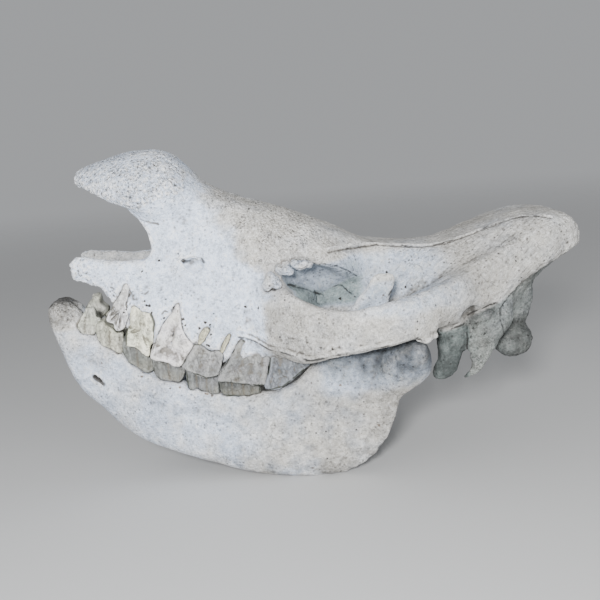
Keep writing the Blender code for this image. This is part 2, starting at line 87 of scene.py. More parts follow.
MM = 0.001
SHIFT = Vector((-4.1, 0.0, 3.1)) * MM
PAIRED_NODES = ["nasal", "maxilla", "temporal", "zygomatic_arch"]
MIDDLE_NODES = ["frontal", "braincase", "occiput"]
SEED = 5
RING_POINTS = 40  # corners of an oval ring
TUBE_POINTS = 16  # corners of a tube's ring
SPAN_STEPS = 5  # rings for each station of a large form
FINE_STEPS = 4  # rings for each station of a tube, and points for each place of an outline
FIRST_SKIN = 4 * MM  # fineness at which the solids' forms melt together
CUTTER_SKIN = 1.5 * MM  # fineness at which the small cutters melt together
MELT_ROUNDS = 8  # rounds of smoothing that melt the creases between forms
SOFTEN_ROUNDS = 3  # rounds that take the steps off a new skin
SLIVER = 0.002 * MM  # edges shorter than this are dropped
OPEN_REACH = 0.07  # how far off a surface still shades the skin, in metres
OPEN_START = 0.0012  # how far over the skin that is measured from
MOAT_REACH = 4  # how far from a tooth or knob the bone is sunk, in millimetres
STAIN_REACH = 10  # how far from a tooth or knob the bone can be stained
BALL_CORNERS = 42  # corners of the ball that cuts a pore


# Curves and closed forms

def curve_through(rows, steps, closed=False):
    """Rows of numbers on a smooth curve through the given rows, with a few steps between each two."""
    count = len(rows)
    out = []
    for i in range(count if closed else count - 1):
        picks = [i - 1, i, i + 1, i + 2]
        if closed:
            a, b, c, d = (rows[k % count] for k in picks)
        else:
            a, b, c, d = (rows[min(max(k, 0), count - 1)] for k in picks)
        for step in range(steps):
            t = step / steps
            out.append([
                0.5 * (2 * q + (r - p) * t + (2 * p - 5 * q + 4 * r - s) * t * t
                       + (3 * q - p - 3 * r + s) * t ** 3)
                for p, q, r, s in zip(a, b, c, d)
            ])
    if not closed:
        out.append(list(rows[-1]))
    return out


def new_object(name, bm):
    bmesh.ops.recalc_face_normals(bm, faces=bm.faces[:])
    mesh = bpy.data.meshes.new(name)
    bm.to_mesh(mesh)
    bm.free()
    obj = bpy.data.objects.new(name, mesh)
    bpy.context.scene.collection.objects.link(obj)
    return obj


def loft(name, rings):
    """A closed form through rings of (x, y, z) in table millimetres, with capped ends."""
    bm = bmesh.new()
    loops = [[bm.verts.new(Vector(p) * MM) for p in ring] for ring in rings]
    count = len(loops[0])
    for one, two in zip(loops, loops[1:]):
        for i in range(count):
            j = (i + 1) % count
            bm.faces.new((one[i], one[j], two[j], two[i]))
    for loop, ring in ((loops[0], rings[0]), (loops[-1], rings[-1])):
        middle = bm.verts.new(Vector([sum(c) / count for c in zip(*ring)]) * MM)
        for i in range(count):
            bm.faces.new((loop[i], loop[(i + 1) % count], middle))
    return new_object(name, bm)


def mirrored(obj):
    """The same form on the other side of the skull."""
    bm = bmesh.new()
    bm.from_mesh(obj.data)
    bmesh.ops.scale(bm, vec=(1, -1, 1), verts=bm.verts[:])
    return new_object(obj.name + "_right", bm)


def both_sides(forms):
    """The forms of the left side, and then the same ones of the right side."""
    return forms + [mirrored(form) for form in forms]


def flipped(obj):
    """The object's mirror image, which takes its place."""
    other = mirrored(obj)
    bpy.data.objects.remove(obj, do_unlink=True)
    return other


def oval(across, up, power):
    """Points of an oval, boxier as the power grows past 2."""
    points = []
    for i in range(RING_POINTS):
        angle = 2 * math.pi * i / RING_POINTS
        c, s = math.cos(angle), math.sin(angle)
        points.append((across * math.copysign(abs(c) ** (2 / power), c),
                       up * math.copysign(abs(s) ** (2 / power), s)))
    return points


def axis_loft(name, axis, stations, power=2.4):
    """Ovals square to one axis. A station reads: place on the axis, the two middles across it
    and the two half sizes. Across x these are y then z, across y x then z, across z x then y.
    """
    rings = []
    for place, mid_a, mid_b, half_a, half_b in curve_through(stations, SPAN_STEPS):
        ring = []
        for a, b in oval(max(half_a, 0.5), max(half_b, 0.5), power):
            a, b = a + mid_a, b + mid_b
            ring.append({"x": (place, a, b), "y": (a, place, b), "z": (a, b, place)}[axis])
        rings.append(ring)
    return loft(name, rings)


def path_loft(name, stations, power=2.4):
    """Ovals along a path. Each station: x, y, z of the middle, half height and half thickness.

    The height stays upright, and the thickness is square to the path as seen from above.
    """
    rows = curve_through(stations, SPAN_STEPS)
    rings = []
    for i, row in enumerate(rows):
        before, after = rows[max(i - 1, 0)], rows[min(i + 1, len(rows) - 1)]
        along = Vector((after[0] - before[0], after[1] - before[1], 0)).normalized()
        across = Vector((-along.y, along.x, 0))
        rings.append([
            tuple(Vector(row[:3]) + across * a + Vector((0, 0, b)))
            for a, b in oval(row[4], row[3], power)
        ])
    return loft(name, rings)


def body_loft(name, stations):
    """The long middle form, alike on both sides. A station reads, in millimetres:

    x, top z, roof edge y and z, wall y and z, lower wall y and z, foot y and z, floor z
    """
    rings = []
    for row in curve_through(stations, SPAN_STEPS):
        x, top, edge_y, edge_z, wall_y, wall_z, low_y, low_z, foot_y, foot_z, floor = row
        half = [
            (0.5 * edge_y, top - 0.15 * (top - edge_z)), (edge_y, edge_z), (wall_y, wall_z),
            (low_y, low_z), (foot_y, foot_z), (0.5 * foot_y, 0.5 * (foot_z + floor)),
        ]
        outline = [(0, top)] + half + [(0, floor)] + [(-y, z) for y, z in reversed(half)]
        rings.append([(x, y, z) for y, z in curve_through(outline, FINE_STEPS, closed=True)])
    return loft(name, rings)


def tube(name, stations):
    """A round tube along a path. Each station: x, y and z of the middle and the radius."""
    rows = [Vector(row) for row in curve_through(stations, FINE_STEPS)]
    rings = []
    for i, row in enumerate(rows):
        along = (rows[min(i + 1, len(rows) - 1)] - rows[max(i - 1, 0)]).to_3d().normalized()
        side = along.orthogonal().normalized()
        up = along.cross(side)
        rings.append([
            tuple(row.to_3d() + (side * math.cos(a) + up * math.sin(a)) * row[3])
            for a in (2 * math.pi * k / TUBE_POINTS for k in range(TUBE_POINTS))
        ])
    return loft(name, rings)


def ball(name, middle, halves, turn=(0, 0, 0), fineness=4):
    """An egg shape: its middle, its half sizes, and its turn in degrees about x, y and z."""
    bm = bmesh.new()
    bmesh.ops.create_icosphere(bm, subdivisions=fineness, radius=1)
    bmesh.ops.scale(bm, vec=Vector(halves) * MM, verts=bm.verts[:])
    turned = Matrix.Identity(3)
    for axis, angle in zip("XYZ", turn):
        turned = Matrix.Rotation(math.radians(angle), 3, axis) @ turned
    bmesh.ops.transform(bm, matrix=turned.to_4x4(), verts=bm.verts[:])
    bmesh.ops.translate(bm, vec=Vector(middle) * MM, verts=bm.verts[:])
    return new_object(name, bm)


def prism(name, outline, low, high):
    """A flat outline of (x, z) points carried along y."""
    bm = bmesh.new()
    ends = [[bm.verts.new(Vector((a, y, b)) * MM) for a, b in outline] for y in (low, high)]
    near, far = ends
    bm.faces.new(near)
    bm.faces.new(far[::-1])
    for i in range(len(outline)):
        j = (i + 1) % len(outline)
        bm.faces.new((near[i], far[i], far[j], near[j]))
    bmesh.ops.triangulate(bm, faces=bm.faces[:])
    return new_object(name, bm)


def settle(obj):
    """Applies the object's modifiers to its mesh."""
    bpy.context.view_layer.update()
    graph = bpy.context.evaluated_depsgraph_get()
    mesh = bpy.data.meshes.new_from_object(obj.evaluated_get(graph))
    obj.modifiers.clear()
    obj.data = mesh
    return obj


def join(name, objects):
    """One object that holds the shells of several, which are then removed."""
    bm = bmesh.new()
    for obj in objects:
        bm.from_mesh(obj.data)
        bpy.data.objects.remove(obj, do_unlink=True)
    return new_object(name, bm)


def remesh(obj, voxel, smooth_rounds):
    """Melts overlapping shells into one skin and softens its creases."""
    skin = obj.modifiers.new("skin", "REMESH")
    skin.mode = "VOXEL"
    skin.voxel_size = voxel
    skin.adaptivity = 0.0
    if smooth_rounds:
        soften = obj.modifiers.new("soften", "SMOOTH")
        soften.factor = 0.5
        soften.iterations = smooth_rounds
    return settle(obj)


def cut(obj, cutters, melt=None):
    """Takes each cutter away from the object, and removes the cutters.

    With a fineness to melt at, the cutters are first made into one skin.
    """
    if melt:
        cutters = [remesh(join("cutter", cutters), melt, 0)]
    for cutter in cutters:
        step = obj.modifiers.new("cut", "BOOLEAN")
        step.operation = "DIFFERENCE"
        step.solver = "MANIFOLD"
        step.object = cutter
    settle(obj)
    for cutter in cutters:
        bpy.data.objects.remove(cutter, do_unlink=True)


def thin_out(obj, triangles):
    """Lowers the number of triangles to about the one given, where there are more."""
    now = sum(len(face.vertices) - 2 for face in obj.data.polygons)
    if now > triangles:
        fewer = obj.modifiers.new("fewer", "DECIMATE")
        fewer.ratio = triangles / now
        fewer.use_collapse_triangulate = True
        settle(obj)


# Forms of the upper skull, as the solids have them

# The long middle form from the back of the nose opening to the neck crest.
# x, top z, roof edge y z, wall y z, lower wall y z, foot y z, floor z
MIDDLE = [
    (-246, 440, 46, 430, 58, 385, 58, 320, 72, 262, 272),
    (-205, 452, 58, 436, 64, 385, 65, 310, 84, 230, 250),
    (-165, 444, 62, 424, 69, 370, 74, 295, 92, 196, 226),
    (-125, 418, 66, 402, 82, 350, 87, 275, 97, 180, 212),
    (-85, 401, 70, 386, 96, 334, 99, 262, 98, 170, 204),
    (-45, 387, 72, 370, 106, 316, 107, 256, 96, 168, 204),
    (-12, 374, 66, 360, 106, 312, 92, 260, 88, 176, 210),
    (18, 361, 60, 348, 102, 306, 58, 268, 54, 220, 218),
    (45, 348, 56, 337, 92, 299, 57, 268, 50, 222, 212),
    (70, 335, 52, 327, 74, 288, 56, 258, 45, 214, 204),
    (95, 324, 48, 318, 58, 288, 56, 248, 42, 206, 197),
    (145, 316, 42, 313, 62, 286, 66, 240, 42, 192, 184),
    (200, 318, 50, 312, 88, 285, 94, 238, 50, 178, 168),
    (250, 330, 62, 324, 98, 294, 102, 246, 58, 172, 154),
    (290, 343, 76, 335, 102, 308, 100, 258, 56, 196, 178),
    (320, 350, 86, 341, 106, 322, 100, 278, 60, 238, 232),
    (352, 351, 92, 343, 106, 322, 100, 286, 60, 272, 268),
    (378, 344, 88, 338, 100, 318, 94, 296, 46, 290, 290),
    (391, 333, 72, 328, 84, 314, 78, 300, 34, 302, 302),
]

# The rough nose boss that carries the front horn.
BOSS = [
    (-322, 452, 14, 450, 20, 444, 20, 440, 14, 438, 440),
    (-314, 459, 28, 454, 40, 444, 42, 436, 34, 432, 438),
    (-295, 466, 40, 458, 56, 440, 58, 428, 44, 424, 436),
    (-268, 473, 50, 462, 70, 438, 70, 414, 54, 412, 434),
    (-240, 479, 54, 468, 82, 438, 78, 404, 60, 400, 430),
    (-210, 480, 56, 470, 86, 436, 80, 398, 60, 380, 400),
    (-184, 472, 54, 462, 84, 430, 76, 396, 58, 376, 380),
    (-164, 455, 50, 446, 74, 420, 70, 394, 56, 376, 376),
    (-140, 428, 44, 420, 62, 402, 64, 386, 50, 374, 374),
]


def cranium_forms():
    """The closed forms that melt into the upper skull."""
    middle = [body_loft("middle", MIDDLE), body_loft("boss", BOSS)]
    side = [
        # Wall of the upper jaw that runs forward under the nose opening.
        path_loft("front_wall", [
            (-340, -38, 317, 13, 6), (-330, -40, 320, 20, 8), (-300, -46, 312, 23, 9),
            (-270, -52, 302, 29, 10), (-235, -56, 292, 34, 11), (-200, -58, 285, 40, 11),
        ], power=3),
        # Floor of the nose and palate in front of the cheek teeth.
        axis_loft("palate_front", "x", [
            (-296, -24, 284, 24, 6), (-270, -26, 276, 30, 8), (-230, -30, 266, 36, 10),
            (-200, -32, 256, 40, 12),
        ]),
        # Cheek bone from the upper jaw to the jaw joint.
        path_loft("cheek", [
            (-84, -84, 232, 40, 16), (-50, -110, 232, 50, 18), (-20, -136, 221, 48, 15),
            (12, -156, 217, 36, 12), (50, -171, 220, 31, 11), (92, -176, 226, 31, 12),
            (126, -169, 230, 29, 15), (158, -148, 234, 28, 20),
        ], power=3.2),
        # Broad root of the cheek bone over the jaw joint.
        axis_loft("joint_root", "x", [
            (114, -122, 220, 28, 9), (130, -120, 224, 50, 20), (160, -112, 230, 52, 27),
            (190, -100, 236, 46, 32), (216, -92, 238, 38, 34), (236, -88, 238, 28, 30),
        ]),
        # Plate over the ear, from the root of the cheek bone up to the neck crest.
        path_loft("ear_plate", [
            (146, -136, 232, 26, 21), (176, -123, 240, 28, 25), (206, -111, 250, 31, 26),
            (240, -104, 262, 34, 24), (274, -100, 275, 36, 21), (306, -98, 292, 34, 18),
            (340, -97, 307, 27, 16), (366, -90, 317, 21, 14),
        ], power=2.8),
        # Bone that holds the roots of the upper teeth.
        path_loft("upper_tooth_bed", [
            (-284, -50, 264, 16, 9), (-252, -60, 243, 24, 13), (-220, -68, 224, 28, 15),
            (-180, -72, 202, 26, 17), (-140, -73, 190, 20, 17), (-100, -74, 184, 18, 17),
            (-60, -74, 182, 16, 15),
        ]),
        # Small knob at the outer end of the jaw joint.
        ball("joint_knob", (138, -156, 203), (13, 12, 12)),
        # Strong spike behind the jaw joint.
        axis_loft("joint_spike", "z", [
            (214, 198, -92, 28, 22), (190, 196, -94, 22, 19), (168, 193, -96, 19, 17),
            (150, 190, -97, 18, 15), (134, 182, -97, 19, 13), (125, 178, -96, 13, 9),
            (120, 175, -96, 6, 5),
        ]),
        # Bone behind the ear and the spike that hangs from it.
        axis_loft("ear_back", "x", [
            (234, -90, 203, 16, 18), (250, -98, 206, 20, 34), (268, -96, 216, 20, 38),
            (288, -86, 230, 16, 34),
        ]),
        axis_loft("ear_spike", "z", [
            (202, 250, -100, 24, 19), (184, 247, -98, 26, 16), (166, 240, -95, 23, 13),
            (152, 237, -93, 17, 11), (139, 235, -92, 11, 9), (128, 228, -91, 11, 8),
            (119, 215, -90, 10, 7), (115, 209, -90, 5, 4),
        ]),
        # One of the two knobs that carried the skull on the neck.
        ball("neck_knob", (300, -46, 157), (30, 28, 25), (0, -18, 0)),
        # Thin plate behind the palate.
        path_loft("wing_plate", [
            (-70, -36, 205, 22, 6), (-30, -34, 200, 26, 5), (10, -32, 196, 26, 5),
            (50, -32, 192, 24, 5), (78, -34, 190, 16, 4),
        ]),
    ]
    centre = [
        # Back of the skull round the hole of the spinal cord.
        axis_loft("back_block", "z", [
            (262, 304, 0, 26, 66), (240, 303, 0, 33, 64), (215, 302, 0, 34, 62),
            (190, 296, 0, 33, 58), (165, 280, 0, 32, 50), (146, 272, 0, 24, 40),
        ], power=3),
    ]
    return middle + centre + both_sides(side)


def cranium_cutters():
    """What is open in the upper skull."""
    # The gap under the nose, as the side view shows it.
    notch = [
        (-420, 344), (-324, 341), (-303, 335), (-232, 327), (-223, 333), (-220, 346),
        (-224, 366), (-233, 383), (-246, 398), (-268, 410), (-290, 423), (-312, 437), (-420, 440),
    ]
    cutters = [
        prism("nose_gap", notch, -130, 130),
        axis_loft("nose_hollow", "x", [
            (-340, 0, 372, 30, 70), (-290, 0, 368, 38, 66), (-240, 0, 357, 46, 76),
            (-200, 0, 350, 49, 78), (-160, 0, 340, 47, 70), (-120, 0, 330, 38, 52),
            (-95, 0, 324, 20, 26),
        ], power=2.8),
        axis_loft("cord_hole", "x", [
            (346, 0, 180, 28, 26), (300, 0, 178, 26, 25), (262, 0, 180, 23, 22),
            (240, 0, 184, 12, 12),
        ], power=2),
        # Shallow notch in the middle of the neck crest.
        ball("crest_notch", (414, 0, 318), (32, 40, 36)),
        axis_loft("throat", "x", [
            (-130, 0, 204, 18, 10), (-90, 0, 196, 26, 20), (-40, 0, 190, 28, 24),
            (40, 0, 176, 28, 26), (120, 0, 150, 30, 24),
        ]),
    ]
    side = [
        ball("eye_hollow", (14, -128, 279), (62, 71, 27), (0, 19, 0)),
        ball("ear_hollow", (222, -134, 212), (20, 30, 21), (0, 15, 0)),
    ]
    return cutters + both_sides(side)


# Rough knobs on the rim of the eye: the lumps of each, with their middles and half sizes
EYE_KNOBS = [
    [((-12, -110, 308), (12, 8, 6.5)), ((-2, -107, 307), (7, 7, 5)), ((-21, -110, 310), (6, 8, 6))],
    [((-36, -111, 303), (11, 9, 7)), ((-43, -111, 305), (6, 8, 7)), ((-30, -111, 301), (6, 8, 6)),
     ((-33, -108, 311), (6, 6, 4))],
    [((-54, -113, 289), (11, 9, 9)), ((-61, -111, 284), (8, 8, 8)), ((-48, -112, 283), (7, 8, 7)),
     ((-56, -113, 296), (7, 7, 6))],
]


def fine_forms():
    """Forms that only the fine skin takes in, on both sides."""
    side = [
        # Knobs at the outer end of the jaw joint.
        ball("lump", (146, -165, 200), (9, 8, 7), fineness=3),
        ball("lump_behind", (158, -158, 202), (7, 7, 5), fineness=3),
        # Smooth passage from the cheek bone to the plate over the ear.
        path_loft("passage", [
            (112, -166, 231, 28, 15), (134, -160, 234, 28, 17), (158, -149, 238, 27, 17),
            (186, -134, 246, 26, 18), (214, -120, 255, 25, 18), (244, -108, 265, 24, 17),
            (276, -102, 277, 20, 14),
        ]),
    ]
    return both_sides(side)


def fine_cutters():
    """Holes for nerves and vessels, and narrow gaps, on both sides."""
    side = [
        # The nerve hole of the face: a bowl, with its canal under the front of its upper rim.
        ball("face_bowl", (-161, -77, 313), (14, 11, 11), (0, -8, 0), fineness=3),
        ball("face_undercut", (-165, -70, 318), (12, 8, 8), (0, -14, 0), fineness=3),
        tube("face_canal", [(-171, -76, 320, 4), (-176, -66, 322, 3.6), (-182, -54, 326, 3)]),
        # Broken front end and lower edge of the front of the upper jaw.
        ball("front_nick", (-346, -38, 313), (6, 18, 4), (0, 20, 0), fineness=3),
        ball("front_nick_high", (-344, -40, 327), (5, 18, 3), fineness=3),
        ball("low_nick", (-324, -42, 297), (7, 18, 3.5), (0, 15, 0), fineness=3),
        ball("low_nick_behind", (-301, -46, 290), (5, 18, 4), fineness=3),
        # Clefts and edges in the eye hollow.
        tube("eye_cleft", [
            (-36, -102, 276, 2.5), (-29, -91, 276, 3.4), (-16, -73, 270, 4), (-5, -68, 266, 4),
            (5, -65, 260, 4), (14, -60, 254, 3),
        ]),
        tube("eye_cleft_behind", [
            (34, -60, 262, 2.2), (42, -58, 263, 3), (52, -57, 257, 3.2), (60, -56, 249, 3),
            (66, -55, 243, 2.2),
        ]),
        ball("eye_hole", (12, -60, 248), (9, 6, 7), fineness=3),
        tube("tear_hole", [(-46, -104, 277, 6), (-56, -96, 275, 5), (-66, -84, 275, 3)]),
        ball("knob_gap", (-27, -106, 295), (10, 8, 6), (0, -30, 0), fineness=3),
        # Hollow between the plate and the ear, the arched rim of its canal and the gaps beside it.
        ball("ear_fossa", (238, -120, 211), (20, 14, 9), (0, -33, 0), fineness=3),
        tube("ear_canal", [
            (224, -112, 188, 3.4), (226, -108, 198, 4), (232, -102, 204, 4.2), (239, -100, 202, 4.2),
            (242, -106, 193, 3.6), (236, -114, 185, 3),
        ]),
        tube("ear_gap", [
            (215, -118, 201, 3.4), (217, -110, 182, 4.2), (217, -100, 164, 4.6), (220, -84, 150, 5),
        ]),
        tube("spike_top", [
            (170, -112, 190, 3.4), (184, -117, 197, 4.2), (198, -120, 204, 4.2), (212, -116, 206, 3.6),
        ]),
        tube("plate_edge", [
            (262, -116, 222, 2.6), (276, -114, 234, 3), (297, -110, 251, 3.4), (321, -108, 267, 3.4),
            (350, -96, 278, 3), (372, -96, 290, 2.4),
        ]),
        ball("joint_gap", (132, -164, 197), (9, 14, 5), (0, -12, 0), fineness=3),
        tube("cheek_pores", [(-54, -136, 211, 1.6), (-50, -128, 213, 2.2), (-44, -120, 214, 1.6)]),
    ]
    return both_sides(side)


# Forms of the lower jaw, as the solids have them

def jaw_forms():
    """The closed forms that melt into the lower jaw, both halves."""
    side = [
        axis_loft("jaw_body", "x", [
            (-383, -14, 255, 15, 10), (-369, -17, 231, 20, 42), (-349, -18, 203, 23, 64),
            (-323, -20, 173, 24, 63), (-296, -25, 147, 26, 67), (-262, -35, 122, 26, 67),
            (-228, -45, 101, 26, 61), (-184, -57, 82, 26, 55), (-136, -68, 68, 26, 57),
            (-96, -77, 63, 26, 62), (-56, -87, 62, 25, 66), (-20, -95, 72, 22, 77),
            (14, -102, 94, 19, 98), (42, -107, 114, 16, 110), (64, -111, 122, 15, 105),
            (84, -114, 128, 14, 88), (98, -116, 133, 13, 72), (112, -117, 148, 9, 46),
        ], power=2.6),
        axis_loft("jaw_blade", "z", [
            (160, 58, -114, 48, 9), (200, 64, -118, 42, 8), (228, 73, -120, 33, 7),
            (252, 82, -121, 26, 6.5), (268, 93, -121, 22, 6), (281, 99, -121, 19, 5.5),
            (289, 101, -121, 13, 4),
        ], power=2.6),
        # Ledge that holds the lower teeth, a little prouder than they are at its rim.
        path_loft("lower_tooth_ledge", [
            (-344, -32, 214, 17, 12), (-316, -36, 205, 19, 13), (-296, -42, 182, 20, 13),
            (-276, -47, 172, 22, 13), (-250, -55, 148, 20, 13), (-228, -61, 137, 20, 14),
            (-200, -67, 130, 20, 15), (-172, -71, 121, 19, 15), (-144, -74, 110, 19, 15),
            (-112, -78, 106, 18, 14), (-80, -82, 105, 18, 12),
        ], power=3.2),
        axis_loft("jaw_neck", "z", [
            (96, 84, -116, 20, 14), (112, 92, -117, 27, 15), (124, 104, -119, 34, 18),
            (138, 117, -122, 38, 23), (152, 121, -124, 39, 27), (168, 122, -124, 36, 30),
            (180, 126, -122, 29, 33), (190, 132, -120, 18, 34),
        ]),
        axis_loft("jaw_roller", "y", [
            (-157, 138, 172, 8, 9), (-149, 137, 175, 15, 15), (-120, 136, 179, 17, 14),
            (-88, 134, 178, 15, 13), (-78, 133, 176, 8, 8),
        ]),
    ]
    return both_sides(side)


def jaw_cutters():
    """The nerve hole under the first tooth on both sides, and the scooped upper side of the tip."""
    side = [
        tube("chin_hole", [
            (-331, -48, 163, 2.4), (-325, -42, 159, 4), (-318, -40, 154, 4.8), (-312, -42, 148, 3.6),
            (-308, -46, 143, 2),
        ]),
        tube("chin_hole_low", [(-302, -56, 128, 1.6), (-298, -50, 126, 2), (-290, -42, 124, 1.4)]),
        tube("tip_groove", [(-384, -18, 262, 1.6), (-368, -24, 262, 2.2), (-352, -27, 259, 1.6)]),
    ]
    return both_sides(side) + [
        ball("tip_scoop", (-356, 0, 279), (27, 15, 15), (0, 6, 0)),
    ]


# Teeth. Outline in side view as x and z, outer and inner y, rise of the biting edge for each millimetre
# towards the tongue, ridges (+) and furrows (-) of the outer wall, and the colour; the lower teeth's
# colours are darkened further as painted shade under the upper teeth.
# A ridge reads: x and z of its two ends, height and half width.
TEETH = {
    "upper_1": (
        [(-258, 295), (-264, 294), (-271, 282), (-281, 269), (-287, 259), (-292, 252), (-293, 245),
         (-284, 240), (-284, 234), (-280, 228), (-275, 228), (-269, 233), (-265, 241), (-261, 250),
         (-263, 261), (-264, 268), (-260, 275), (-257, 284)],
        -70, -42, 0.2, [(-262, 290, -276, 262, 1.0, 3), (-272, 262, -270, 236, 1.2, 3),
                        (-283, 262, -279, 232, -1.0, 2.4)], (0.54, 0.53, 0.52)),
    "upper_2": (
        [(-255, 263), (-248, 262), (-242, 258), (-235, 255), (-227, 251), (-224, 240), (-226, 227),
         (-229, 213), (-235, 200), (-238, 191), (-248, 198), (-254, 205), (-261, 207), (-268, 210),
         (-266, 225), (-262, 236), (-259, 250)],
        -84, -46, 0.35, [(-250, 260, -262, 212, 1.4, 3), (-234, 252, -244, 200, 1.2, 3),
                         (-242, 256, -252, 206, -1.2, 3)], (0.63, 0.62, 0.50)),
    "upper_3": (
        [(-189, 264), (-197, 255), (-206, 245), (-215, 233), (-223, 219), (-229, 205), (-235, 191),
         (-229, 186), (-220, 184), (-210, 180), (-199, 174), (-192, 175), (-184, 186), (-174, 200),
         (-174, 205), (-181, 217), (-186, 231), (-186, 248)],
        -92, -46, 0.35, [(-195, 252, -226, 192, 1.6, 4), (-188, 246, -204, 178, 0.8, 4),
                         (-190, 240, -214, 184, -1.0, 4)], (0.60, 0.575, 0.56)),
    "upper_4_root": (
        [(-166, 203), (-165, 211), (-163, 218), (-156, 226), (-148, 226), (-150, 219), (-156, 210),
         (-162, 205)],
        -92, -80, 0.0, [(-163, 206, -153, 223, 0.8, 2)], (0.50, 0.47, 0.35)),
    "upper_5_root": (
        [(-135, 192), (-134, 199), (-131, 205), (-124, 214), (-119, 216), (-121, 207), (-127, 198),
         (-132, 190)],
        -94, -82, 0.0, [(-131, 194, -122, 212, 0.8, 1.6)], (0.40, 0.38, 0.27)),
    "upper_4": (
        [(-171, 206), (-163, 205), (-156, 199), (-148, 194), (-136, 194), (-131, 188), (-134, 176),
         (-140, 160), (-144, 156), (-156, 155), (-168, 157), (-178, 164), (-190, 172), (-191, 177),
         (-182, 190)],
        -96, -46, 0.4, [(-168, 204, -184, 172, 1.6, 3.5), (-148, 194, -158, 158, 1.2, 3.5),
                        (-158, 198, -170, 160, -1.4, 4)], (0.255, 0.255, 0.248)),
    "upper_5": (
        [(-102, 208), (-94, 206), (-84, 203), (-76, 197), (-69, 188), (-65, 178), (-69, 164),
         (-74, 145), (-79, 137), (-98, 139), (-117, 143), (-132, 147), (-142, 148), (-141, 158),
         (-132, 170), (-123, 182), (-114, 196), (-108, 205)],
        -99, -46, 0.4, [(-104, 206, -139, 153, 2.2, 4), (-92, 204, -118, 146, -2.2, 6),
                        (-80, 198, -92, 142, 1.6, 5), (-70, 186, -78, 142, 0.8, 3)],
        (0.205, 0.206, 0.203)),
    "upper_6": (
        [(-65, 180), (-67, 168), (-70, 155), (-78, 135), (-70, 129), (-59, 128), (-51, 131),
         (-34, 142), (-17, 156), (-9, 161), (-10, 168), (-25, 176), (-39, 184), (-55, 187)],
        -98, -48, 0.4, [(-62, 182, -74, 134, 1.8, 3), (-50, 184, -58, 132, -1.6, 5),
                        (-34, 180, -40, 142, 1.2, 5)], (0.16, 0.172, 0.19)),
    "lower_1": (
        [(-341, 233), (-340, 239), (-337, 243), (-332, 251), (-326, 257), (-325, 262), (-314, 262),
         (-312, 257), (-311, 249), (-303, 240), (-305, 232), (-313, 226), (-321, 221), (-333, 224)],
        -42, -18, 0.0, [(-318, 260, -319, 226, 1.6, 3), (-327, 254, -331, 228, -1.6, 2.5),
                        (-337, 240, -334, 226, 1.0, 2.5)], (0.43, 0.43, 0.37)),
    "lower_2": (
        [(-311, 238), (-305, 240), (-300, 241), (-296, 234), (-287, 229), (-282, 224), (-274, 223),
         (-274, 210), (-277, 197), (-283, 193), (-293, 200), (-301, 205), (-308, 211), (-313, 223)],
        -53, -26, 0.25, [(-303, 238, -303, 208, 2.0, 4), (-283, 222, -284, 196, 2.0, 4),
                         (-293, 230, -296, 203, -2.4, 3)], (0.39, 0.385, 0.32)),
    "lower_3": (
        [(-274, 213), (-264, 206), (-256, 203), (-250, 196), (-243, 189), (-233, 184), (-232, 174),
         (-236, 165), (-246, 164), (-262, 175), (-274, 189), (-276, 200)],
        -64, -36, 0.35, [(-266, 204, -268, 182, 2.0, 4), (-244, 188, -246, 168, 2.0, 4),
                         (-256, 200, -257, 174, -2.2, 3)], (0.165, 0.17, 0.157)),
    "lower_4": (
        [(-234, 190), (-222, 186), (-206, 181), (-191, 174), (-189, 164), (-192, 154), (-199, 148),
         (-212, 150), (-224, 154), (-233, 163)],
        -75, -44, 0.4, [(-225, 184, -224, 156, 2.2, 4), (-203, 178, -200, 152, 1.8, 4),
                        (-213, 180, -212, 152, -2.6, 3)], (0.15, 0.153, 0.147)),
    "lower_5": (
        [(-187, 172), (-172, 168), (-156, 163), (-144, 156), (-142, 144), (-144, 126), (-162, 131),
         (-174, 138), (-186, 137)],
        -81, -50, 0.4, [(-180, 168, -180, 140, 1.8, 3), (-168, 166, -168, 136, 1.4, 2.4),
                        (-152, 160, -152, 130, 1.6, 3), (-174, 166, -174, 138, -1.8, 1.8),
                        (-160, 164, -160, 132, -1.8, 2)], (0.145, 0.15, 0.15)),
    "lower_6": (
        [(-140, 158), (-126, 153), (-106, 149), (-88, 145), (-84, 134), (-86, 122), (-112, 121),
         (-139, 126)],
        -85, -54, 0.4, [(-132, 154, -132, 128, 1.6, 3), (-116, 150, -116, 124, 1.6, 3),
                        (-100, 146, -100, 123, 1.6, 3), (-124, 152, -124, 126, -1.8, 2),
                        (-108, 150, -108, 123, -1.8, 2)], (0.088, 0.091, 0.086)),
}
# Those whose outer wall follows the skin of the bone: how far it stands out of the bone, and how
# far the bone may lie from the wall's own y
FOLLOWS_BONE = ("upper_1", "upper_2", "upper_3", "upper_4_root", "upper_5_root")
PROUD = 1.3
WALL_REACH = 16
PLAIN_FLAKES = 0.8  # height of the flakes of enamel, as a share
FLAKY = {"upper_2": 1.4}  # the same where the enamel is broken
# Dark stains on teeth: x and z along each one, and its half width
TOOTH_STAINS = {
    "upper_1": [([(-286, 232), (-280, 229), (-273, 230)], 1.6)],
    "upper_2": [([(-261, 252), (-265, 230), (-268, 212)], 2.6),
                ([(-228, 250), (-224, 240), (-227, 228)], 3.0),
                ([(-262, 208), (-252, 204), (-244, 194)], 1.4)],
    "upper_4": [([(-178, 165), (-156, 156), (-142, 157)], 1.4)],
    "upper_5": [([(-102, 206), (-97, 199), (-96, 190)], 1.8),
                ([(-140, 149), (-110, 143), (-80, 139)], 1.6)],
    "upper_6": [([(-70, 131), (-52, 133), (-20, 156)], 1.5)],
}
RIGHT_FRONT_RISE = 8  # how far the first lower tooth on the right has come out of its bone

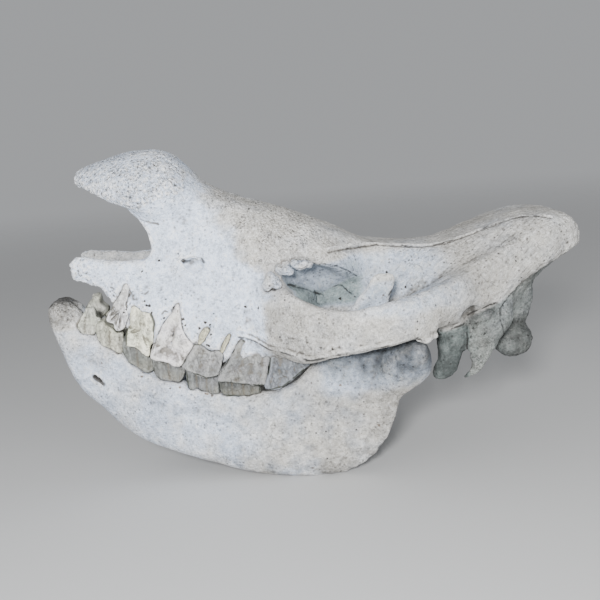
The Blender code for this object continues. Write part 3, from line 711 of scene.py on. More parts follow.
# Lines on the bone, in side view on the left: x, y, z
TEMPLE_GROOVE = [
    (29, -89, 319), (57, -67, 319), (104, -42, 318), (137, -41, 313), (169, -47, 310),
    (193, -49, 311), (222, -52, 317), (256, -56, 328), (284, -60, 338), (310, -67, 343),
    (329, -81, 344), (346, -95, 340),
]
TEMPLE_TOP = [
    (92, -35, 323), (123, -28, 319), (165, -30, 317), (198, -32, 319), (231, -36, 326),
    (257, -40, 334), (285, -46, 343), (312, -56, 349),
]
CHEEK_CREST = [(-104, -98, 222), (-90, -108, 215), (-70, -122, 207), (-48, -134, 196), (-22, -148, 184)]
CHEEK_SCAR = [(-52, -131, 216), (-25, -150, 214), (-6, -160, 199), (30, -176, 202), (57, -183, 205)]
CHEEK_FOOT = [
    (-106, -99, 214), (-87, -103, 208), (-66, -115, 194), (-45, -135, 193), (-18, -151, 185),
    (-6, -157, 185), (21, -170, 193), (51, -180, 198), (87, -185, 202), (118, -183, 207),
]
CREST_EDGE = [
    (386, -76, 318), (376, -92, 303), (356, -101, 293), (340, -102, 285), (318, -100, 270),
    (301, -98, 258), (284, -96, 242), (270, -98, 220),
]
# Lines of painted shade in narrow crevices, gaps and seams, under overhangs and in cast shadows: the
# places along each one and its half width
PAINTED_SHADE_LINES = [
    (TEMPLE_GROOVE[1:], 1.5), (TEMPLE_TOP, 1.0),
    # In the eye hollow: two clefts, the edge under the roof and the rim of a nerve hole.
    ([(-38, -100, 275), (-33, -95, 279), (-29, -92, 278), (-16, -72, 271), (-5, -67, 267),
      (5, -64, 261), (14, -60, 255)], 2.1),
    ([(34, -60, 263), (41, -59, 266), (47, -58, 265), (54, -55, 257), (62, -54, 250),
      (68, -53, 244)], 1.6),
    ([(-8, -103, 309), (3, -102, 310), (20, -98, 305), (39, -92, 299), (56, -81, 289),
      (68, -70, 279)], 1.5),
    ([(3, -62, 243), (2, -62, 249), (5, -60, 255), (12, -58, 257), (19, -56, 254), (21, -55, 248)], 1.1),
    # Under the knobs on the eye's rim.
    ([(-66, -112, 287), (-62, -114, 280), (-52, -116, 277), (-43, -112, 281), (-40, -108, 290)], 1.8),
    ([(-48, -114, 299), (-42, -114, 295), (-33, -114, 295), (-27, -112, 301), (-24, -110, 306)], 1.7),
    ([(-24, -112, 305), (-16, -112, 301), (-7, -110, 301), (1, -106, 304)], 1.7),
    # Upper rim and front pit of the nerve hole of the face.
    ([(-176, -70, 319), (-174, -70, 323), (-168, -71, 326), (-161, -72, 328), (-154, -74, 327),
      (-149, -76, 324), (-147, -76, 319)], 2.9),
    ([(-176, -70, 321), (-168, -70, 321)], 4.0),
    # Round the ear: rim of the canal, gaps beside it, edge of the plate and the seam behind.
    ([(221, -105, 181), (224, -107, 190), (226, -108, 198), (232, -100, 203), (238, -96, 202),
      (241, -97, 198), (242, -104, 190), (237, -112, 184)], 2.0),
    ([(217, -107, 199), (216, -108, 190), (217, -104, 178), (217, -100, 163)], 2.2),
    ([(172, -99, 188), (183, -110, 193), (198, -115, 201), (214, -108, 204)], 2.6),
    ([(212, -108, 211), (224, -110, 218), (235, -114, 223), (248, -116, 229), (256, -117, 231)], 2.0),
    ([(262, -114, 222), (276, -111, 237), (297, -108, 254), (321, -107, 270), (350, -92, 280),
      (371, -96, 293)], 1.6),
    ([(278, -70, 152), (276, -80, 168), (268, -100, 186), (262, -115, 204), (262, -115, 220)], 1.8),
    # Under the edge of the cheek over the last teeth.
    ([(-108, -99, 212), (-87, -103, 206), (-66, -115, 193), (-45, -135, 191), (-18, -151, 184)], 2.0),
    # Shadow under the lower edge of the cheek.
    ([(-18, -151, 182), (-6, -157, 183), (21, -170, 190), (51, -180, 195), (87, -185, 199),
      (118, -183, 204), (132, -178, 205)], 2.5),
    ([(-54, -136, 211), (-50, -130, 214)], 2.0), ([(-106, -99, 200), (-100, -100, 203)], 1.6),
    # Border of the horn's seat.
    ([(-207, -84, 409), (-200, -84, 411)], 2.2), ([(-186, -82, 415), (-178, -80, 416)], 1.2),
]
# Lines of painted shade on the jaw: a slit, a hollow under the joint, the chin's nerve hole and the shadow
# of the cheek's edge.
JAW_PAINTED_SHADE_LINES = [
    ([(98, -121, 243), (101, -121, 252), (106, -121, 259), (112, -121, 267), (116, -121, 273)], 2.2),
    ([(98, -150, 188), (108, -150, 193), (120, -152, 194)], 3.0),
    ([(-324, -42, 159), (-318, -40, 154), (-312, -42, 148)], 4.6),
    # Shadow of the cheek's lower edge.
    ([(8, -118, 172), (25, -118, 175), (58, -118, 177.5), (97, -118, 180.5), (126, -118, 186)], 2.6),
]
# The jaw's rear angle, and its worn lower border
JAW_ANGLE = [
    (-30, -100, 6), (20, -104, 8), (60, -108, 22), (88, -112, 44), (100, -114, 72), (104, -116, 98),
]
JAW_FOOT = [(-150, -80, 12), (-60, -96, 0), (20, -104, 4), (70, -110, 26), (100, -114, 70)]
FACE_CRACKS = [
    [(-239, -69, 281), (-234, -70, 280), (-230, -70, 283)],
    [(-213, -80, 251), (-208, -80, 255), (-204, -80, 253), (-196, -80, 259), (-188, -79, 264)],
    [(-231, -60, 385), (-218, -62, 380), (-206, -65, 377)],
    [(-128, -92, 352), (-116, -92, 338), (-104, -96, 326), (-98, -98, 316)],
]
# Where the smooth face ends and the rough forehead and the cheek begin: z, then x
FACE_BORDER = ((200, 285, 296, 308, 320, 348, 365, 382, 411, 440),
               (-78, -66, -67, -83, -101, -107, -120, -129, -144, -152))
# Borders of the front horn's seat: z of the lower one along x, and x of the rear one along z
SEAT_FOOT = ((-330, -309, -234, -203, -166, -150), (440, 433, 399, 412, 419, 424))
SEAT_REAR = ((400, 419, 444, 469, 485), (-160, -166, -162, -175, -188))
# Roots that swell the bone: the places along each one, its half width and its height
ROOTS_BELOW_SKIN = [
    ([(-206, -86, 262), (-214, -82, 272), (-220, -78, 282)], 4.0, 0.8),
    ([(-236, -78, 262), (-240, -74, 276), (-240, -68, 290)], 4.5, 1.0),
    ([(-150, -96, 206), (-142, -94, 222), (-136, -92, 240)], 5.0, 1.0),
    ([(-112, -100, 210), (-106, -100, 226), (-100, -98, 240)], 5.5, 1.0),
    ([(-84, -102, 208), (-80, -104, 222), (-78, -106, 234)], 5.0, 0.8),
]
# Where pores are dense
ROWS_ABOVE_TEETH = [
    (-252, -66, 274), (-226, -74, 268), (-200, -82, 258), (-170, -90, 230), (-150, -94, 212),
]
ROWS_BELOW_TEETH = [(-352, -34, 206), (-300, -48, 190), (-240, -62, 158), (-150, -82, 126)]


# Noise and measures on arrays of points, in millimetres

def scrambled(rows, seed):
    """A whole number that looks random for each row of three whole numbers."""
    with np.errstate(over="ignore"):
        mixed = (rows[..., 0] * np.int64(73856093) ^ rows[..., 1] * np.int64(19349663)
                 ^ rows[..., 2] * np.int64(83492791) ^ np.int64(seed * 2654435761 % (1 << 40)))
        mixed = (mixed ^ (mixed >> np.int64(13))) * np.int64(1274126177)
        return (mixed ^ (mixed >> np.int64(16))) & np.int64(0x7FFFFFFF)


SLOPES = np.array([
    (1, 1, 0), (-1, 1, 0), (1, -1, 0), (-1, -1, 0), (1, 0, 1), (-1, 0, 1), (1, 0, -1), (-1, 0, -1),
    (0, 1, 1), (0, -1, 1), (0, 1, -1), (0, -1, -1),
], dtype=float)


def noise(points, size, seed=0):
    """Smooth random values between about -1 and 1, with features of one size."""
    p = points / size + seed * 7.31
    cell = np.floor(p).astype(np.int64)
    inside = p - cell
    ease = inside ** 3 * (inside * (inside * 6 - 15) + 10)
    total = np.zeros(len(points))
    for corner in range(8):
        step = np.array([corner & 1, corner >> 1 & 1, corner >> 2 & 1])
        slope = SLOPES[scrambled(cell + step, seed) % len(SLOPES)]
        weight = np.prod(np.where(step, ease, 1 - ease), axis=1)
        total += weight * ((inside - step) * slope).sum(axis=1)
    return total * 1.2


def fractal(points, size, octaves, seed=0):
    """Noise of one size with finer and weaker noise on it."""
    return sum(noise(points, size / 2 ** k, seed + k) / 2 ** k for k in range(octaves))


def cells(points, size, seed=0):
    """Distance from the nearest of scattered seeds, over their spacing, and that seed's number."""
    p = points / size
    cell = np.floor(p).astype(np.int64)
    best = np.full(len(points), 9.0)
    number = np.zeros(len(points))
    for corner in range(27):
        step = np.array([corner % 3 - 1, corner // 3 % 3 - 1, corner // 9 - 1])
        other = cell + step
        spots = np.stack([scrambled(other, seed + k) % 1000 / 1000.0 for k in (0, 31, 57)], axis=1)
        far = np.linalg.norm(other + spots - p, axis=1)
        nearer = far < best
        best = np.where(nearer, far, best)
        number = np.where(nearer, scrambled(other, seed + 91) % 1000 / 1000.0, number)
    return best, number


def ramp(values, low, high):
    """0 below the low value, 1 above the high one and smooth between."""
    t = np.clip((values - low) / (high - low), 0, 1)
    return t * t * (3 - 2 * t)


def between(values, low, rise_end, fall_start, high):
    """0 below the low value, 1 from the end of the rise to the start of the fall, 0 above the high."""
    return ramp(values, low, rise_end) * (1 - ramp(values, fall_start, high))


def bell(values, width):
    return np.exp(-(values / width) ** 2)


def from_line(points, line):
    """How far each point is from a path through the given places."""
    best = np.full(len(points), 1e9)
    line = [np.array(place, dtype=float) for place in line]
    for a, b in zip(line, line[1:]):
        along = b - a
        t = np.clip(((points - a) @ along) / (along @ along), 0, 1)
        best = np.minimum(best, np.linalg.norm(points - a - t[:, None] * along, axis=1))
    return best


def on_lines(left, lines):
    """1 on any of the lines, each with its half width, fading beside them.

    Depth across the skull counts little, so a line may lie a little above or below the skin.
    """
    flat = np.array([1, 0.12, 1])
    best = np.zeros(len(left))
    for line, width in lines:
        far = from_line(left * flat, [np.array(place) * flat for place in line])
        best = np.maximum(best, bell(far, width))
    return best * (0.5 + 0.5 * ramp(noise(left, 16, 71) + 0.6 * noise(left, 5, 72), -0.35, 0.25))


def read_points(obj):
    """The object's corners in table millimetres, and the way each one faces."""
    mesh = obj.data
    places = np.empty(len(mesh.vertices) * 3)
    mesh.vertices.foreach_get("co", places)
    facing = np.empty(len(mesh.vertices) * 3)
    mesh.vertex_normals.foreach_get("vector", facing)
    return places.reshape(-1, 3) / MM, facing.reshape(-1, 3)


def write_points(obj, points):
    obj.data.vertices.foreach_set("co", (points * MM).ravel())
    obj.data.update()


def softened(obj, values, rounds):
    """Values at the corners, averaged with their neighbours a number of times."""
    mesh = obj.data
    ends = np.empty(len(mesh.edges) * 2, dtype=np.int64)
    mesh.edges.foreach_get("vertices", ends)
    a, b = ends.reshape(-1, 2).T
    count = len(mesh.vertices)
    links = np.maximum(np.bincount(a, minlength=count) + np.bincount(b, minlength=count), 1)
    columns = values.reshape(count, -1).copy()
    for _ in range(rounds):
        for k in range(columns.shape[1]):
            column = columns[:, k]
            around = (np.bincount(a, column[b], count) + np.bincount(b, column[a], count)) / links
            columns[:, k] = 0.4 * column + 0.6 * around
    return columns.reshape(values.shape)


def dent_depth(obj, rounds):
    """How far each corner lies under the smoothed skin, in millimetres."""
    points, facing = read_points(obj)
    return ((softened(obj, points, rounds) - points) * facing).sum(axis=1)


def store(obj, name, values):
    """Keeps one number for each corner, for the material to read."""
    layer = obj.data.attributes.get(name) or obj.data.attributes.new(name, "FLOAT", "POINT")
    layer.data.foreach_set("value", np.ascontiguousarray(values, dtype=np.float32))


def shape_tree(obj):
    mesh = obj.data
    return BVHTree.FromPolygons([v.co for v in mesh.vertices],
                                [tuple(p.vertices) for p in mesh.polygons])


def openness(obj, rays=12, every=3):
    """For each corner, the share of the directions round its normal that are free.

    Only every few corners are measured, and the others take the mean of those around them.
    """
    tree = shape_tree(obj)
    points, facing = read_points(obj)
    measured = np.arange(0, len(points), every)
    draw = np.random.default_rng(SEED)
    spread = draw.normal(size=(rays, 3))
    spread /= np.linalg.norm(spread, axis=1)[:, None]
    free = np.zeros(len(points))
    starts = (points * MM + facing * OPEN_START)[measured]
    for way in spread:
        ways = facing[measured] * 1.05 + way
        ways /= np.linalg.norm(ways, axis=1)[:, None]
        for i, start, heading in zip(measured.tolist(), starts.tolist(), ways.tolist()):
            if tree.ray_cast(start, heading, OPEN_REACH)[0] is None:
                free[i] += 1
    weight = np.zeros(len(points))
    weight[measured] = 1
    both = softened(obj, np.stack([free / rays * weight, weight], axis=1), 4)
    return both[:, 0] / np.maximum(both[:, 1], 1e-6)


def keep_wear_and_shade(obj, zones, clean_and_unshaded=0.0):
    """Stores what the bone's material needs: dents, hollows and the zones given by name.

    The dents take grime and painted shade, and the hollows painted shade. Where the bone is spotless, its
    dents are scarcely darkened and its ridges scarcely whitened.
    """
    depth = 0.55 * dent_depth(obj, 5) + 0.03 * np.clip(dent_depth(obj, 40), -2, 2)
    store(obj, "dent", np.clip(0.5 + depth * (1 - clean_and_unshaded), 0, 1))
    store(obj, "open", openness(obj))
    for name, values in zones.items():
        store(obj, name, values)


def drop_slivers(obj):
    """Removes faces that have shrunk to nothing."""
    bm = bmesh.new()
    bm.from_mesh(obj.data)
    bmesh.ops.dissolve_degenerate(bm, dist=SLIVER, edges=bm.edges[:])
    bmesh.ops.triangulate(bm, faces=bm.faces[:])
    bm.to_mesh(obj.data)
    bm.free()


def finish_shape(obj, material, angle=50):
    """Carries a piece from the tables' frame to that of the solids and gives it its material."""
    drop_slivers(obj)
    low, high = (np.array(corner) for corner in CAD_BOX)
    points, _ = read_points(obj)
    points = np.clip(points * MM + np.array(SHIFT), low, high)
    write_points(obj, points / MM)
    obj.data.materials.clear()
    obj.data.materials.append(material)
    obj.data.shade_smooth()
    obj.data.set_sharp_from_angle(angle=math.radians(angle))
    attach(obj, "root")


# Materials

class Wire:
    """One output of a shader node. Sums and products with it add Math nodes."""

    def __init__(self, surface, socket):
        self.surface = surface
        self.socket = socket

    def maths(self, operation, one, two=0.0):
        made = self.surface.node("ShaderNodeMath", {"operation": operation}, {0: one, 1: two})
        return made["Value"]

    def __add__(self, other):
        return self.maths("ADD", self, other)

    def __sub__(self, other):
        return self.maths("SUBTRACT", self, other)

    def __rsub__(self, other):
        return self.maths("SUBTRACT", other, self)

    def __mul__(self, other):
        return self.maths("MULTIPLY", self, other)

    __radd__ = __add__
    __rmul__ = __mul__

    def ramp(self, low, high):
        """0 at one value, 1 at the other and smooth between."""
        return self.surface.node(
            "ShaderNodeMapRange", {"interpolation_type": "SMOOTHSTEP", "clamp": True},
            {"Value": self, "From Min": low, "From Max": high})["Result"]


class Made:
    """A node, whose outputs are read by name or number."""

    def __init__(self, surface, node):
        self.surface = surface
        self.node = node

    def __getitem__(self, key):
        return Wire(self.surface, self.node.outputs[key])


class Surface:
    """A material in the making."""

    def __init__(self, name):
        self.material = bpy.data.materials.new(name)
        self.material.use_nodes = True
        self.tree = self.material.node_tree
        self.shader = self.tree.nodes["Principled BSDF"]
        self.place = self.node("ShaderNodeTexCoord")["Object"]

    def node(self, kind, settings=None, values=None):
        """Adds a node: its settings first, then the values or links of its sockets."""
        node = self.tree.nodes.new(kind)
        for key, value in (settings or {}).items():
            setattr(node, key, value)
        for key, value in (values or {}).items():
            self.plug(node.inputs[key], value)
        return Made(self, node)

    def plug(self, socket, value):
        if isinstance(value, Wire):
            self.tree.links.new(value.socket, socket)
        else:
            socket.default_value = value

    def attribute(self, name):
        return self.node("ShaderNodeAttribute", {"attribute_name": name})["Fac"]

    def tone_attribute(self, name):
        return self.node("ShaderNodeAttribute", {"attribute_name": name})["Color"]

    def stretched(self, sizes, turn=0, offset=(0, 0, 0)):
        """The place in units of the given sizes, with the first axis turned up by some degrees."""
        return self.node("ShaderNodeMapping", {"vector_type": "TEXTURE"}, {
            "Vector": self.place, "Scale": sizes, "Rotation": (0, math.radians(-turn), 0),
            "Location": offset})["Vector"]

    def noise(self, scale, detail=3.0, roughness=0.55, place=None, distortion=0.0):
        """Soft noise with a number of features to the metre."""
        return self.node("ShaderNodeTexNoise", {"noise_dimensions": "3D"}, {
            "Vector": place or self.place, "Scale": scale, "Detail": detail,
            "Roughness": roughness, "Distortion": distortion})["Fac"]

    def bent(self, scale, amount):
        """The place on the object, moved about by noise up to an amount."""
        drift = self.node("ShaderNodeTexNoise", {"noise_dimensions": "3D"}, {
            "Vector": self.place, "Scale": scale, "Detail": 3.0})["Color"]
        return self.node("ShaderNodeVectorMath", {"operation": "MULTIPLY_ADD"}, {
            0: drift, 1: (amount,) * 3, 2: self.place})["Vector"]

    def cracks(self, scale, width):
        """1 on the borders of bent cells, 0 between them."""
        edge = self.node("ShaderNodeTexVoronoi", {"feature": "DISTANCE_TO_EDGE"}, {
            "Vector": self.bent(scale * 2.5, 0.9 / scale), "Scale": scale})["Distance"]
        return 1 - edge.ramp(0.3 * width * scale, width * scale)

    def spots(self, scale, place=None):
        """Scattered cells: distance from the middle of the nearest one, and its own number."""
        made = self.node("ShaderNodeTexVoronoi", {"feature": "F1"}, {
            "Vector": place or self.place, "Scale": scale, "Randomness": 1.0})
        number = self.node("ShaderNodeSeparateColor", None, {"Color": made["Color"]})
        return made["Distance"], number["Red"]

    def mix(self, one, two, factor):
        def full(colour):
            return colour if isinstance(colour, Wire) else (*colour[:3], 1.0)
        return self.node("ShaderNodeMix", {"data_type": "RGBA", "clamp_factor": True},
                         {0: factor, 6: full(one), 7: full(two)})[2]

    def tinted(self, colour, amount):
        """The colour made lighter or darker by a factor that changes over the surface."""
        colour = colour if isinstance(colour, Wire) else tuple(colour[:3])
        return self.node("ShaderNodeVectorMath", {"operation": "SCALE"},
                         {0: colour, "Scale": amount})["Vector"]

    def bump(self, height, distance):
        return self.node("ShaderNodeBump", None, {
            "Height": height, "Distance": distance, "Strength": 1.0})["Normal"]

    def finish(self, colour, roughness, normal):
        self.plug(self.shader.inputs["Base Color"], colour)
        self.plug(self.shader.inputs["Roughness"], roughness)
        self.plug(self.shader.inputs["Normal"], normal)
        return self.material


def bone_material(name, look):
    """Dry chalky bone: mottled, speckled, with fibres along it, grime and painted shade in its dents, and
    painted shade in its hollows and crevices.
    """
    s = Surface(name)
    dent, free = s.attribute("dent"), s.attribute("open")
    warm, pitted, stain = s.attribute("warm"), s.attribute("pitted"), s.attribute("stain")
    green, fan = s.attribute("green"), s.attribute("fan")
    light, dark = s.attribute("light"), s.attribute("dark")
    broad = s.noise(15, 3)
    blotch = s.noise(62, 4, 0.6)
    mottle = s.noise(230, 3, 0.6)
    grain = s.noise(620, 3, 0.62)
    along = s.noise(1, 3, 0.6, s.stretched((0.020, 0.0028, 0.0028), 6))
    rising = s.noise(1, 3, 0.6, s.stretched((0.034, 0.0026, 0.0026), 42))
    fibre = along + (rising - along) * fan
    # Open-pored bone on the seats of the horns: dense small pits with pale walls between them.
    dense = s.noise(48, 3, 0.6).ramp(0.36, 0.62)
    coarse_pits = s.noise(430, 2, 0.7, distortion=0.6).ramp(0.48, 0.36) * (0.3 + 0.7 * dense)
    near, number = s.spots(330, place=s.bent(500, 0.0016))
    pits = (1 - near.ramp(0.20, 0.60)) * number.ramp(0.35, 0.95) * (0.25 + 0.75 * dense)
    walls = mottle.ramp(0.52, 0.70)
    # Scattered specks and pores everywhere else.
    speck_near, speck_number = s.spots(215, place=s.bent(300, 0.002))
    speck = (1 - speck_near.ramp(0.12, 0.44)) * speck_number.ramp(0.55, 0.95)
    pore_near, pore_number = s.spots(70)
    pore = (1 - pore_near.ramp(0.05, 0.12)) * (pore_number + stain * 0.2).ramp(0.82, 0.92)
    crack = s.cracks(24, 0.0008) * (blotch + (broad - 0.5)).ramp(0.60, 0.68)

    colour = s.mix(look.cool, look.warm,
                   (warm + (broad - 0.5) * 0.5 + (blotch - 0.5) * 0.6).ramp(0.05, 0.95))
    colour = s.mix(colour, look.green, (green + (blotch - 0.5) * 0.9).ramp(0.1, 1.1) * 0.85)
    dusty = (mottle - 0.5) * 2.2 + (blotch - 0.5) * 1.8 + 0.12 + pitted * 0.2 + fan * 0.1
    colour = s.mix(colour, look.dust, dusty.ramp(0.10, 0.85) * (0.55 + 0.15 * pitted))
    # Painted shade in the hollows, by how closed off each place is.
    colour = s.mix(colour, look.shade, (1 - free).ramp(0.45, 0.95) * 0.7)
    # Grime and painted shade in the dents, and chalky white on the ridges.
    colour = s.mix(colour, look.dirt_and_crease_shade, (dent + (grain - 0.5) * 0.35).ramp(0.53, 0.84) * 0.9)
    colour = s.mix(colour, look.bright, (1 - dent + (grain - 0.5) * 0.35).ramp(0.55, 0.84) * 0.6)
    stained = (stain + (blotch - 0.5) * 1.1 + (mottle - 0.5) * 0.8).ramp(0.3, 1.2)
    colour = s.mix(colour, look.stain, stained)
    colour = s.mix(colour, look.dirt_and_crease_shade, fibre.ramp(0.54, 0.70) * (0.16 + 0.50 * fan))
    colour = s.mix(colour, look.dirt_and_crease_shade, speck * (0.55 + 0.3 * fan))
    colour = s.mix(colour, look.dirt_and_crease_shade, (pits * 0.85 + coarse_pits * 0.5) * pitted)
    colour = s.mix(colour, look.bright, walls * (0.15 + 0.45 * pitted))
    colour = s.mix(colour, look.pore, crack * 0.3)
    colour = s.mix(colour, look.pore, pore * 0.75)
    # Painted shade, nearly black, along the crevices and gaps, inside the pores and beside the teeth and
    # knobs.
    colour = s.mix(colour, look.pore, (dark + (mottle - 0.5) * 0.6).ramp(0.30, 0.90) * 0.9)
    # Lighter and darker by the light value: partly the bone's own lightness, partly painted shade in
    # hollows and under overhangs.
    colour = s.tinted(colour, light * (1 + 1.3 * (grain - 0.5) + 1.5 * (mottle - 0.5)
                                       + 0.9 * (blotch - 0.5) + 0.5 * (fibre - 0.5)))

    height = (0.45 * grain + 0.5 * fibre + 1.1 * mottle + 0.6 * blotch - 0.6 * speck - 1.2 * pore
              - 0.5 * crack - pitted * (pits + 0.6 * coarse_pits))
    return s.finish(colour, 0.80 + 0.14 * grain, s.bump(height, 0.0016))


def tooth_material(name, look):
    """Old enamel and root: facets, fine cracks, stains, and painted shade round the rims of the teeth."""
    s = Surface(name)
    dent, free = s.attribute("dent"), s.attribute("open")
    bite, root = s.attribute("bite"), s.attribute("root")
    tone = s.tone_attribute("tone")
    blotch = s.noise(85, 4, 0.6)
    mottle = s.noise(330, 3, 0.6)
    streak = s.noise(1, 3, 0.6, s.stretched((0.0030, 0.0030, 0.022), 12))
    grain = s.noise(900, 3, 0.6)
    crack = s.cracks(42, 0.0007) * blotch.ramp(0.46, 0.56)
    line = s.noise(1, 2, 0.5, s.stretched((0.0052, 0.0052, 0.040), 14, (1.3, 0.2, 0)), distortion=0.4)
    off_line = s.node("ShaderNodeMath", {"operation": "ABSOLUTE"}, {0: line - 0.5})["Value"]
    split = 1 - off_line.ramp(0.002, 0.012)

    plain = s.tinted(tone, 1 + 2.1 * (blotch - 0.5) + 0.4 * (streak - 0.5) + 1.3 * (mottle - 0.5))
    rooty = (root * (0.3 + 0.9 * (blotch - 0.2))).ramp(0.1, 0.8)
    # The root's cream, dimmed by the painted shade along the rim.
    colour = s.mix(plain, s.tinted(look.cream, free), rooty * 0.2)
    colour = s.mix(colour, look.brown_and_furrow_shade, (mottle * 0.6 + blotch * 0.5).ramp(0.46, 0.34) * 0.45)
    # Stain and painted shade in the furrows.
    colour = s.mix(colour, look.brown_and_furrow_shade, (dent + (mottle - 0.5) * 0.4).ramp(0.56, 0.88) * 0.7)
    colour = s.mix(colour, look.brown_and_furrow_shade, (bite + (blotch - 0.5) * 1.1).ramp(0.75, 1.2) * 0.35)
    colour = s.mix(colour, s.tinted(tone, 1.7), (1 - dent + (mottle - 0.5) * 0.3).ramp(0.56, 0.88) * 0.6)
    colour = s.mix(colour, look.crack, split * blotch.ramp(0.45, 0.6) * 0.25)
    colour = s.mix(colour, look.crack, crack * 0.35)
    # Painted shade round each tooth's rim, and its black green stains.
    colour = s.mix(colour, look.green, ((1 - free) + (mottle - 0.5) * 0.6).ramp(0.35, 0.85) * 0.92)
    colour = s.tinted(colour, 1 + 0.8 * (grain - 0.5))
    height = 0.5 * streak + 0.35 * grain + 0.5 * mottle - 0.5 * split - 0.8 * crack
    return s.finish(colour, 0.45 + 0.3 * blotch + 0.15 * dent, s.bump(height, 0.0009))


# Settings

def colour_property(name, description, default):
    return FloatVectorProperty(name=name, description=description, default=default, size=3,
                               subtype="COLOR", min=0, max=1)


def length_property(name, description, default):
    return FloatProperty(name=name, description=description, default=default, min=0,
                         unit="LENGTH", subtype="DISTANCE")


class BoneSettings(bpy.types.PropertyGroup):
    """Surface and colours of the bones."""

    voxel: length_property("Fineness", "Size of the squares that the skin is first made of", 0.0023)
    triangles: IntProperty(name="Triangles", description="Most triangles in a bone before pores are cut",
                           default=173000, min=1000)
    relief: FloatProperty(name="Relief", description="Height of the bone's unevenness, as a share",
                          default=1.0, min=0)
    pore_size: length_property("Pore size", "Half width of the larger pores", 0.0012)
    pore_density: FloatProperty(name="Pores", description="Pores to the square metre where they are dense",
                                default=24000, min=0)
    cool: colour_property("Cool bone", "Bluish white of the face", (0.67, 0.76, 0.91))
    warm: colour_property("Warm bone", "Cream of the forehead and the cheek", (0.73, 0.70, 0.64))
    green: colour_property("Hollow bone", "Grey green round the ear and in the eye", (0.43, 0.54, 0.52))
    dust: colour_property("Dust", "Grey of the dusty patches", (0.45, 0.45, 0.45))
    # Grime, and also the painted shade in the dents.
    dirt_and_crease_shade: colour_property("Dirt", "Brownish grey in the dents", (0.13, 0.118, 0.102))
    # Painted shade deep in the hollows.
    shade: colour_property("Hollow", "Grey deep in the hollows", (0.36, 0.41, 0.43))
    bright: colour_property("Edge", "Chalky white of the ridges", (0.88, 0.87, 0.85))
    stain: colour_property("Stain", "Brown at the sockets and on the jaw's angle", (0.26, 0.21, 0.165))
    # Also the painted shade along the crevices and gaps and beside the teeth and knobs.
    pore: colour_property("Pore", "Dark inside of a pore", (0.022, 0.020, 0.018))


class ToothSettings(bpy.types.PropertyGroup):
    """Surface and colours of the teeth."""

    voxel: length_property("Fineness", "Size of the squares that the skin is first made of", 0.0011)
    triangles: IntProperty(name="Triangles", description="Most triangles in one tooth",
                           default=8000, min=500)
    cream: colour_property("Root", "Cream of the root", (0.62, 0.56, 0.40))
    # Also the painted shade in the furrows.
    brown_and_furrow_shade: colour_property("Stain", "Brown in the furrows and at the biting edge", (0.125, 0.108, 0.082))
    # Also the painted shade round each tooth's rim.
    green: colour_property("Green stain", "Black green between the teeth", (0.030, 0.034, 0.020))
    crack: colour_property("Crack", "Dark line of a crack", (0.06, 0.052, 0.044))


class StageSettings(bpy.types.PropertyGroup):
    """Floor, light and camera."""

    floor: colour_property("Floor", "Colour of the floor", (0.62, 0.62, 0.615))
    floor_width: length_property("Floor width", "Side of the square floor", 30.0)
    sky: FloatProperty(name="Surrounding light", description="Strength of the light from all around",
                       default=0.42, min=0)
    key: FloatProperty(name="Main light", description="Power of the soft main light",
                       default=68.0, min=0, unit="POWER")
    fill: FloatProperty(name="Fill light", description="Power of the soft light beside the camera",
                        default=12.0, min=0, unit="POWER")
    clear_width: length_property("Clear width", "How far the floor stays solid before it fades", 1.6)
    fade_width: length_property("Fade width", "How far from the middle the floor has faded away", 7.0)
    lens: FloatProperty(name="Focal length", description="Focal length in millimetres, 36 mm wide film",
                        default=54.0, min=1)


# Operators

class SKULL_OT_cranium(bpy.types.Operator):
    """Make the skin of the upper skull: one closed mesh with its openings"""

    bl_idname = "skull.cranium"
    bl_label = "Upper Skull"

    def execute(self, context):
        bone = context.scene.skull_bone
        cranium = join("cranium", cranium_forms())
        remesh(cranium, FIRST_SKIN, MELT_ROUNDS)
        cut(cranium, cranium_cutters())
        remesh(cranium, FIRST_SKIN, SOFTEN_ROUNDS)
        cranium = join("cranium", [cranium] + fine_forms())
        remesh(cranium, bone.voxel, SOFTEN_ROUNDS)
        cut(cranium, fine_cutters(), CUTTER_SKIN)
        remesh(cranium, bone.voxel, 1)
        cranium.name = "cranium"
        return {"FINISHED"}


class SKULL_OT_mandible(bpy.types.Operator):
    """Make the skin of the lower jaw: one closed mesh of both halves"""

    bl_idname = "skull.mandible"
    bl_label = "Lower Jaw"

    def execute(self, context):
        bone = context.scene.skull_bone
        jaw = join("mandible", jaw_forms())
        remesh(jaw, FIRST_SKIN, MELT_ROUNDS)
        remesh(jaw, bone.voxel, SOFTEN_ROUNDS)
        cut(jaw, jaw_cutters(), CUTTER_SKIN)
        remesh(jaw, bone.voxel, 1)
        jaw.name = "mandible"
        return {"FINISHED"}


